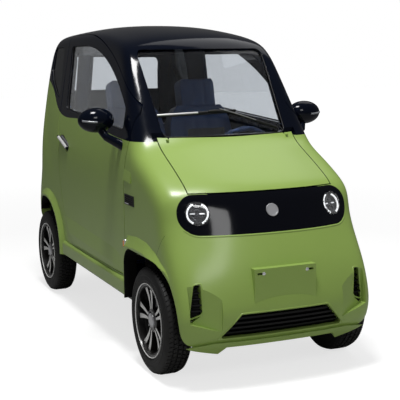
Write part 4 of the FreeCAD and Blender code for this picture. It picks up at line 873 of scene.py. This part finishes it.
def makeWiper():
    values = wiperValues
    left, count = values["left"], values["steps"]
    line = [left + (values["right"] - left) * index / count for index in range(count + 1)]
    for name, (first, last), above, lift, radius, finish, slot, replaced in values["blade"]:
        points = [screenPoint(x, values["level"] + above + values["rise"] * (x - left), lift)
                  for x in line if first < x < last]
        finishPiece(tube(points, radius, 3), name, finish, "body", 60, replaced)
    arm = [screenPoint(*spot) for spot in values["arm"]]
    finishPiece(tube(arm, 0.0058, 4, fine=8), "wiperArm", "mattBlack", "body", 60)
    # A thin bright tube along the top of the arm is a painted highlight.
    edge = [point + Vector((0, -0.0055, 0.0035)) for point in arm[1:4]]
    finishPiece(tube(edge, 0.0014, 3, fine=8), "wiperArmPaintedHighlight", "satinSilverAndPaintedHighlight", "body", 60)
    cap = turned(values["cap"], axis="Y", count=32, capped=True)
    cap.data.transform(frontSeat("windscreen", *values["pivot"]))
    finishPiece(cap, "wiperPivot", "mattBlack", "body", 35)
    print("wiper made")


makeWiper()

# Window seals: a rubber bead along the edge of each pane, on its outer face (zero: outer on both sides)

sealValues = {
    "windscreen": ("body", "y", -1, 0.0030), "rear_window": ("tailgate", "y", 1, 0.0045),
    "door_glass_left": ("door_left", "x", 1, 0.0040), "door_glass_right": ("door_right", "x", -1, 0.0040),
    "quarter_glass": ("body", "x", 0, 0.0040),
}


def makeSeals():
    for node, (body, letter, outward, radius) in sealValues.items():
        pane = nodeCopy(node)

        def facesOut(face):
            sign = outward or math.copysign(1, face.calc_center_median().x)
            return getattr(face.normal, letter) * sign > 0.2

        keepFaces(pane, facesOut)
        startEdit(pane, "EDGE")
        bpy.ops.mesh.region_to_loop()
        bpy.ops.mesh.select_all(action="INVERT")
        bpy.ops.mesh.delete(type="EDGE_FACE")
        bpy.ops.mesh.select_all(action="SELECT")
        bpy.ops.mesh.delete(type="ONLY_FACE")
        bpy.ops.mesh.select_all(action="SELECT")
        bpy.ops.mesh.dissolve_limited(angle_limit=math.radians(2))
        endEdit()
        bpy.ops.object.convert(target="CURVE")
        bead = bpy.context.object
        bead.data.bevel_depth = radius
        bead.data.bevel_resolution = 2
        bpy.ops.object.convert(target="MESH")
        finishPiece(bpy.context.object, "seal_" + node, "sealRubber", body, 60)
    print("seals made")


makeSeals()

# Mirrors: a glass on the rear, a grey marker strip on the front

mirrorValues = {"middle": (0.577, 1.140), "half": (0.080, 0.052), "thickness": 0.002, "edge": 0.003,
                "markerStart": 0.012, "markerLength": 0.066, "markerRadius": 0.0048, "markerProud": 0.0012}


def makeMirrorDetails():
    values = mirrorValues
    middleX, middleZ = values["middle"]
    for side, sign in sides.items():
        node = "mirror_" + side
        rear = hit(node, (sign * middleX, 2, middleZ), (0, -1, 0))[0]
        bpy.ops.mesh.primitive_circle_add(vertices=56, radius=1, fill_type="NGON",
                                          location=(sign * middleX, rear.y, middleZ), rotation=(math.pi / 2, 0, 0))
        glass = bpy.context.object
        glass.scale = (*values["half"], 1)
        applyPlace()
        startEdit(glass)
        bpy.ops.mesh.extrude_region_move(TRANSFORM_OT_translate={"value": (0, values["thickness"], 0)})
        bpy.ops.mesh.inset(thickness=values["edge"], depth=0)
        bpy.ops.transform.translate(value=(0, 0.0004, 0))
        endEdit()
        finishPiece(glass, "mirrorGlass_" + side, "chromed", "door_" + side, 30)
        points = []
        for index in range(9):
            share = index / 8
            x = sign * (middleX + values["markerStart"] + values["markerLength"] * share)
            place = onFront(node, x, middleZ - 0.006 + 0.006 * share ** 2)[0]
            points.append(place - Vector((0, values["markerProud"], 0)))
        finishPiece(tube(points, values["markerRadius"], 3), "mirrorMarker_" + side, "markerGrey", "door_" + side,
                    60)
    print("mirror details made")


makeMirrorDetails()

# Door handles: a dark dish with a grip across it, the grip's highlight painted on as a bright tube

handleValues = {"from": (0.4634, 0.926), "to": (0.6534, 0.984), "ends": (0.06, 0.94), "grip": 0.0088,
                "proud": 0.0015}


def makeHandles():
    values = handleValues
    (y1, z1), (y2, z2) = values["from"], values["to"]
    first, last = values["ends"]
    for side, sign in sides.items():
        points = []
        for index in range(9):
            share = first + (last - first) * index / 8
            place = hit("door_handle_" + side, (sign * 2, y1 + (y2 - y1) * share, z1 + (z2 - z1) * share),
                        (-sign, 0, 0))[0]
            points.append(place - Vector((sign * (values["grip"] - values["proud"]), 0, 0)))
        # The bright tube laid over the black grip is a painted highlight.
        finishPiece(tube(points, values["grip"], 5, fine=4), "handleGripPaintedHighlight_" + side, "brightMetalAndPaintedHighlight", "door_" + side,
                    60)
    print("handles made")


makeHandles()

# Cabin linings: dark trim on the inner faces of the shells

liningValues = {
    "thickness": 0.0009, "widest": 0.470, "roofFoot": 1.12, "cabinMiddle": Vector((0, 0.3, 0.85)),
    "bodies": {"door_left": "door_left", "door_right": "door_right", "quarter_left": "body", "quarter_right": "body",
               "fender_left": "body", "fender_right": "body", "tailgate": "tailgate", "roof": "body"},
}


def facesCabin(node, face):
    values = liningValues
    middle = face.calc_center_median()
    if node == "roof":
        return middle.z > values["roofFoot"] and face.normal.dot((values["cabinMiddle"] - middle).normalized()) > 0.45
    if abs(middle.x) >= values["widest"]:
        return False
    if node == "tailgate":
        return face.normal.y < 0.35
    return face.normal.x * (-1 if node.endswith("left") else 1) > 0.10


# A thin dark shell over the faces of a node that pass the test.
def makeShell(node, test, thickness, name, finish, body):
    shell = nodeCopy(node)
    keepFaces(shell, test)
    if shell.data.polygons:
        addWall(shell, thickness)
        finishPiece(shell, name, finish, body, 30, repair=False)
    else:
        bpy.data.objects.remove(shell)


def makeLinings():
    for node, body in liningValues["bodies"].items():
        makeShell(node, lambda face: facesCabin(node, face), liningValues["thickness"], "lining_" + node,
                  "cabinTrim", body)
    print("linings made")


makeLinings()

# Shade behind the lower part of the rear window

shadeValues = {"top": 1.235, "thickness": 0.0025}


def makeRearShade():
    shade = nodeCopy("rear_window")
    keepFaces(shade, lambda face: face.normal.y < -0.3)
    startEdit(shade)
    bpy.ops.mesh.bisect(plane_co=(0, 0, shadeValues["top"]), plane_no=(0, 0, 1), clear_outer=True)
    endEdit()
    addWall(shade, shadeValues["thickness"])
    finishPiece(shade, "rearShade", "cabinTrim", "tailgate", 30, repair=False)


makeRearShade()

# Black liners inside the wheel arches

archValues = {"inner": 0.28, "reach": 0.46, "thickness": 0.0015}


def makeArchLiners():
    values = archValues
    for node in ("fender", "quarter", "front_bumper"):
        axle = Vector((0, axleY["rear" if node == "quarter" else "front"], wheelCentre.z))
        for side, sign in sides.items():

            def facesWheel(face):
                middle = face.calc_center_median()
                toAxle = axle - middle
                toAxle.x = 0
                near = sign * middle.x > values["inner"] and toAxle.length < values["reach"]
                return near and face.normal.dot(toAxle.normalized()) > 0.30

            makeShell(node if node == "front_bumper" else node + "_" + side, facesWheel, values["thickness"],
                      "archLiner_" + node + "_" + side, "archBlack", "body")
    print("arch liners made")


makeArchLiners()

# Trims of the centre pillars: an upright foot and a leaning head

pillarValues = {"y": 0.515, "width": 0.24, "low": 0.30, "bend": 1.02, "high": 1.50, "foot": 0.388, "head": 0.338,
                "thickness": 0.022, "footWidth": 0.192, "footShift": 0.02, "bevel": 0.006}


def makePillarTrims():
    values = pillarValues
    low, bend = values["low"], values["bend"]
    rise = values["high"] - bend
    inward = values["foot"] - values["head"]
    for side, sign in sides.items():
        lower = block((values["thickness"], values["footWidth"], bend - low),
                      (sign * values["foot"], values["y"] + values["footShift"], (bend + low) / 2),
                      bevel=values["bevel"])
        upper = block((values["thickness"], values["width"], math.hypot(rise, inward)),
                      (sign * (values["foot"] + values["head"]) / 2, values["y"], bend + rise / 2),
                      (0, -sign * math.atan2(inward, rise), 0), values["bevel"])
        finishPiece(joinPieces([upper, lower]), "pillarTrim_" + side, "cabinTrim", "body", 35)
    print("pillar trims made")


makePillarTrims()

# Bezels of the side markers and the edge of the fender trims

sideValues = {"bezel": (0.030, 0.024, 0.042), "bezelIn": 0.0175, "edge": (0.006, 0.050, 0.0030),
              "edgeShift": (-0.001, -0.034, 0.006)}


def makeSideDetails():
    values = sideValues
    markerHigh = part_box("side_markers")[1]
    marker = middleOf("side_markers")
    trimLow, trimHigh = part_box("fender_trims")
    shiftX, shiftY, shiftZ = values["edgeShift"]
    for side, sign in sides.items():
        bezel = block(values["bezel"], (sign * (markerHigh.x - values["bezelIn"]), marker.y, marker.z),
                      bevel=0.007, segments=4)
        finishPiece(bezel, "markerBezel_" + side, "chromed", "body", 40)
        edge = block(values["edge"], (sign * (trimHigh.x + shiftX), trimHigh.y + shiftY, trimLow.z + shiftZ),
                     bevel=0.001)
        finishPiece(edge, "trimEdge_" + side, "brightMetalAndPaintedHighlight", "body", 40)
    print("side details made")


makeSideDetails()

# Seats: crowned cushions with sewn channels. Each pad is (size, middle's y and z, channels, free face, extras).

seatValues = {
    "offset": 0.205, "pivot": (0.1014, 0.41), "recline": -12,
    "cushion": ((0.392, 0.418, 0.112), (-0.1150, 0.449), 5, "top", {}),
    "back": ((0.384, 0.102, 0.745), (0.0460, 0.790), 5, "front", {"taper": 0.30}),
    "head": ((0.206, 0.098, 0.165), (0.0460, 1.232), 3, "front", {"taper": 0.15, "crown": 0.014}),
    "base": (0.30, 0.34, 0.125), "baseAt": (-0.13, 0.318),
    "benchGap": 0.105, "benchSeat": 0.150, "benchBack": 0.090, "benchBackLift": 0.130, "benchBackAt": 0.055,
    "benchChannels": 9,
}


padValues = {"subdivisions": 30, "channelDepth": 0.006, "channelSharp": 10, "channelEnd": 0.80, "outer": 0.9,
             "backCrown": 0.4, "pull": 0.004, "rounding": 0.36, "soften": (0.5, 2)}


# A padded block: rounded, crowned on its free face, with channels pressed in along it.
def pad(size, place, channels, face, taper=0.0, crown=0.012):
    values = padValues
    outer = values["outer"]
    bpy.ops.mesh.primitive_cube_add(size=1, location=(0, 0, 0))
    piece = bpy.context.object
    piece.scale = size
    applyPlace()
    startEdit(piece)
    bpy.ops.mesh.subdivide(number_cuts=values["subdivisions"])
    endEdit()
    half = [value / 2 for value in size]
    for vertex in piece.data.vertices:
        u, v, w = (vertex.co[axis] / half[axis] for axis in range(3))
        sewn = abs(math.cos(math.pi * channels * (u + 1) / 2)) ** values["channelSharp"]
        groove = values["channelDepth"] * sewn * (1 - abs(u) ** 8)
        if face == "front":
            edge = (1 - u ** 4) * (1 - w ** 4)
            vertex.co.y += -crown * edge if v < 0 else crown * values["backCrown"] * edge
            if v < -outer and abs(w) < values["channelEnd"]:
                vertex.co.y += groove
            vertex.co.x *= 1 - taper * max(0, w) ** 6
            if abs(w) > outer:  # the ends pull in between the corners
                vertex.co.z -= math.copysign(values["pull"] * (1 - u ** 2), w)
        elif w > 0:
            vertex.co.z += crown * (1 - u ** 4) * (1 - v ** 4)
            if w > outer and abs(v) < values["channelEnd"]:
                vertex.co.z -= groove
    addBevel(piece, min(size) * values["rounding"], 5, 60)
    applyAll(piece)
    soften = piece.modifiers.new("soften", "SMOOTH")
    soften.factor, soften.iterations = values["soften"]
    applyAll(piece)
    piece.data.transform(Matrix.Translation(place))
    return piece


def finishPad(piece, name, node):
    finishPiece(piece, name, "seatLeather", "body", 60, (node,))


def makeFrontSeats():
    values = seatValues
    for side, sign in sides.items():
        x = sign * values["offset"]
        pivot = Matrix.Translation((x, *values["pivot"]))
        recline = pivot @ Matrix.Rotation(math.radians(values["recline"]), 4, "X") @ pivot.inverted()
        for part, label, fill in (("cushion", "seatCushion_", 0.7), ("back", "seatBack_", 0.7),
                                  ("head", "seatHead_", 0.8)):
            size, (y, z), channels, face, extras = values[part]
            piece = pad(size, (x, y, z), channels, face, **extras)
            if part != "cushion":
                piece.data.transform(recline)
            finishPad(piece, label + side, "front_seats")
        base = block(values["base"], (x, *values["baseAt"]), bevel=0.012, segments=3)
        finishPiece(base, "seatBase_" + side, "cabinTrim", "body", 35)


def makeBench():
    values = seatValues
    low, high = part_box("rear_bench")
    wide, deep, tall = high - low
    gap, seat, lift = values["benchGap"], values["benchSeat"], values["benchBackLift"]
    cushion = pad((wide, deep - gap, seat), (0, (low.y + high.y - gap) / 2, low.z + seat / 2),
                  values["benchChannels"], "top")
    finishPad(cushion, "benchCushion", "rear_bench")
    back = pad((wide, values["benchBack"], tall - lift),
               (0, high.y - values["benchBackAt"], (low.z + high.z) / 2 + values["benchBackAt"]),
               values["benchChannels"], "front")
    finishPad(back, "benchBack", "rear_bench")


makeFrontSeats()
makeBench()
print("seats made")

# Steering wheel

steeringValues = {
    "middle": (0.21, axleY["front"] + 0.525, 0.92), "tilt": 28, "ring": 0.168, "thickness": 0.0135, "swell": 0.10,
    "arms": (0, 180, 270), "armPlaces": (0.03, 0.08, 0.12, 0.164), "armRadius": 0.010,
    "boss": [(-0.030, 0.042), (-0.006, 0.046), (0.004, 0.044), (0.010, 0.036), (0.012, 0.004)],
    "badge": [(-0.044, 0.011), (-0.028, 0.011)],
}


def makeSteeringWheel():
    values = steeringValues
    seat = Matrix.Translation(values["middle"]) @ Matrix.Rotation(math.radians(values["tilt"]), 4, "X")
    bpy.ops.mesh.primitive_torus_add(major_segments=72, minor_segments=16, major_radius=values["ring"],
                                     minor_radius=values["thickness"], rotation=(math.pi / 2, 0, 0))
    ring = bpy.context.object
    applyPlace()
    for vertex in ring.data.vertices:
        turn = math.atan2(vertex.co.z, vertex.co.x)
        centre = Vector((math.cos(turn), 0, math.sin(turn))) * values["ring"]
        swell = 1 + values["swell"] * max(0, math.cos(4 * turn)) ** 3
        vertex.co = centre + (vertex.co - centre) * swell
    ring.data.transform(seat)
    finishPiece(ring, "steeringRing", "seatLeather", "steering_wheel", 60, ("steering_wheel",))
    arms = []
    for degrees in values["arms"]:
        turn = math.radians(degrees)
        along = Vector((math.cos(turn), 0, math.sin(turn)))
        points = [along * reach - Vector((0, 0.008 + 0.010 * math.sin(reach * 9), 0)) for reach in values["armPlaces"]]
        arms.append(tube(points, values["armRadius"], 4, fine=4))
    arms.append(turned(values["boss"], axis="Y", count=48, capped=True))
    arms.append(turned(values["badge"], axis="Y", count=24, capped=True))
    spokes = joinPieces(arms)
    spokes.data.transform(seat)
    finishPiece(spokes, "steeringSpokes", "cabinTrim", "steering_wheel", 40)
    print("steering wheel made")


makeSteeringWheel()

# Dashboard fittings: instruments in front of the driver, a screen in the middle, four vents

dashValues = {
    # name, size, place (x, behind the front edge, above the top), tilt, bevel and its segments, finish, slot
    "blocks": [
        ("instrumentPod", (0.22, 0.075, 0.060), (0.21, 0.165, 0.022), -12, 0.012, 4, "cabinTrim", "matte_black"),
        ("instrumentGlass", (0.195, 0.004, 0.044), (0.21, 0.2035, 0.018), -12, 0.0015, 2, "pianoBlack", "gloss_black"),
        ("centreScreen", (0.20, 0.012, 0.115), (-0.02, 0.225, 0.045), -8, 0.004, 3, "pianoBlack", "gloss_black"),
    ],
    "topAt": (0.21, 0.16), "ventPlaces": (-0.30, -0.16, 0.10, 0.32), "ventBars": 4, "ventTop": 0.945,
    "ventStep": 0.009, "ventBar": (0.080, 0.010, 0.0025), "ventIn": 0.012, "ventTilt": 0.3, "ventBevel": 0.0006,
}


def makeDashboardFittings():
    values = dashValues
    low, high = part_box("dashboard")
    x, behind = values["topAt"]
    top = hit("dashboard", (x, low.y + behind, 2), (0, 0, -1))[0].z
    for name, size, (x, behind, above), tilt, bevel, segments, finish, slot in values["blocks"]:
        piece = block(size, (x, low.y + behind, top + above), (math.radians(tilt), 0, 0), bevel, segments)
        finishPiece(piece, name, finish, "body", 35)
    vents = []
    for place in values["ventPlaces"]:
        for index in range(values["ventBars"]):
            spot = (place, high.y - values["ventIn"], values["ventTop"] - values["ventStep"] * index)
            vents.append(block(values["ventBar"], spot, (values["ventTilt"], 0, 0), values["ventBevel"]))
    finishPiece(joinPieces(vents), "dashVents", "mattBlack", "body", 35)
    print("dashboard fittings made")


makeDashboardFittings()

# Tail lamps: a bright ring in each red lens

tailValues = {"x": 0.437, "ring": [(-0.004, 0.0300), (0.0015, 0.0300), (0.0030, 0.0285), (0.0030, 0.0265),
                                   (0.0010, 0.0250), (-0.004, 0.0250)]}


def makeTailLamps():
    rings = []
    for sign in sides.values():
        place, normal = hit("tail_lamps", (sign * tailValues["x"], 3, middleOf("tail_lamps").z), (0, -1, 0))
        normal = normal if normal.y > 0 else -normal
        ring = turned(tailValues["ring"], axis="Y", count=56)
        ring.data.transform(seatAt(place, normal, "Y"))
        rings.append(ring)
    finishPiece(joinPieces(rings), "tailLampRings", "chromed", "body", 40)
    print("tail lamps made")


makeTailLamps()
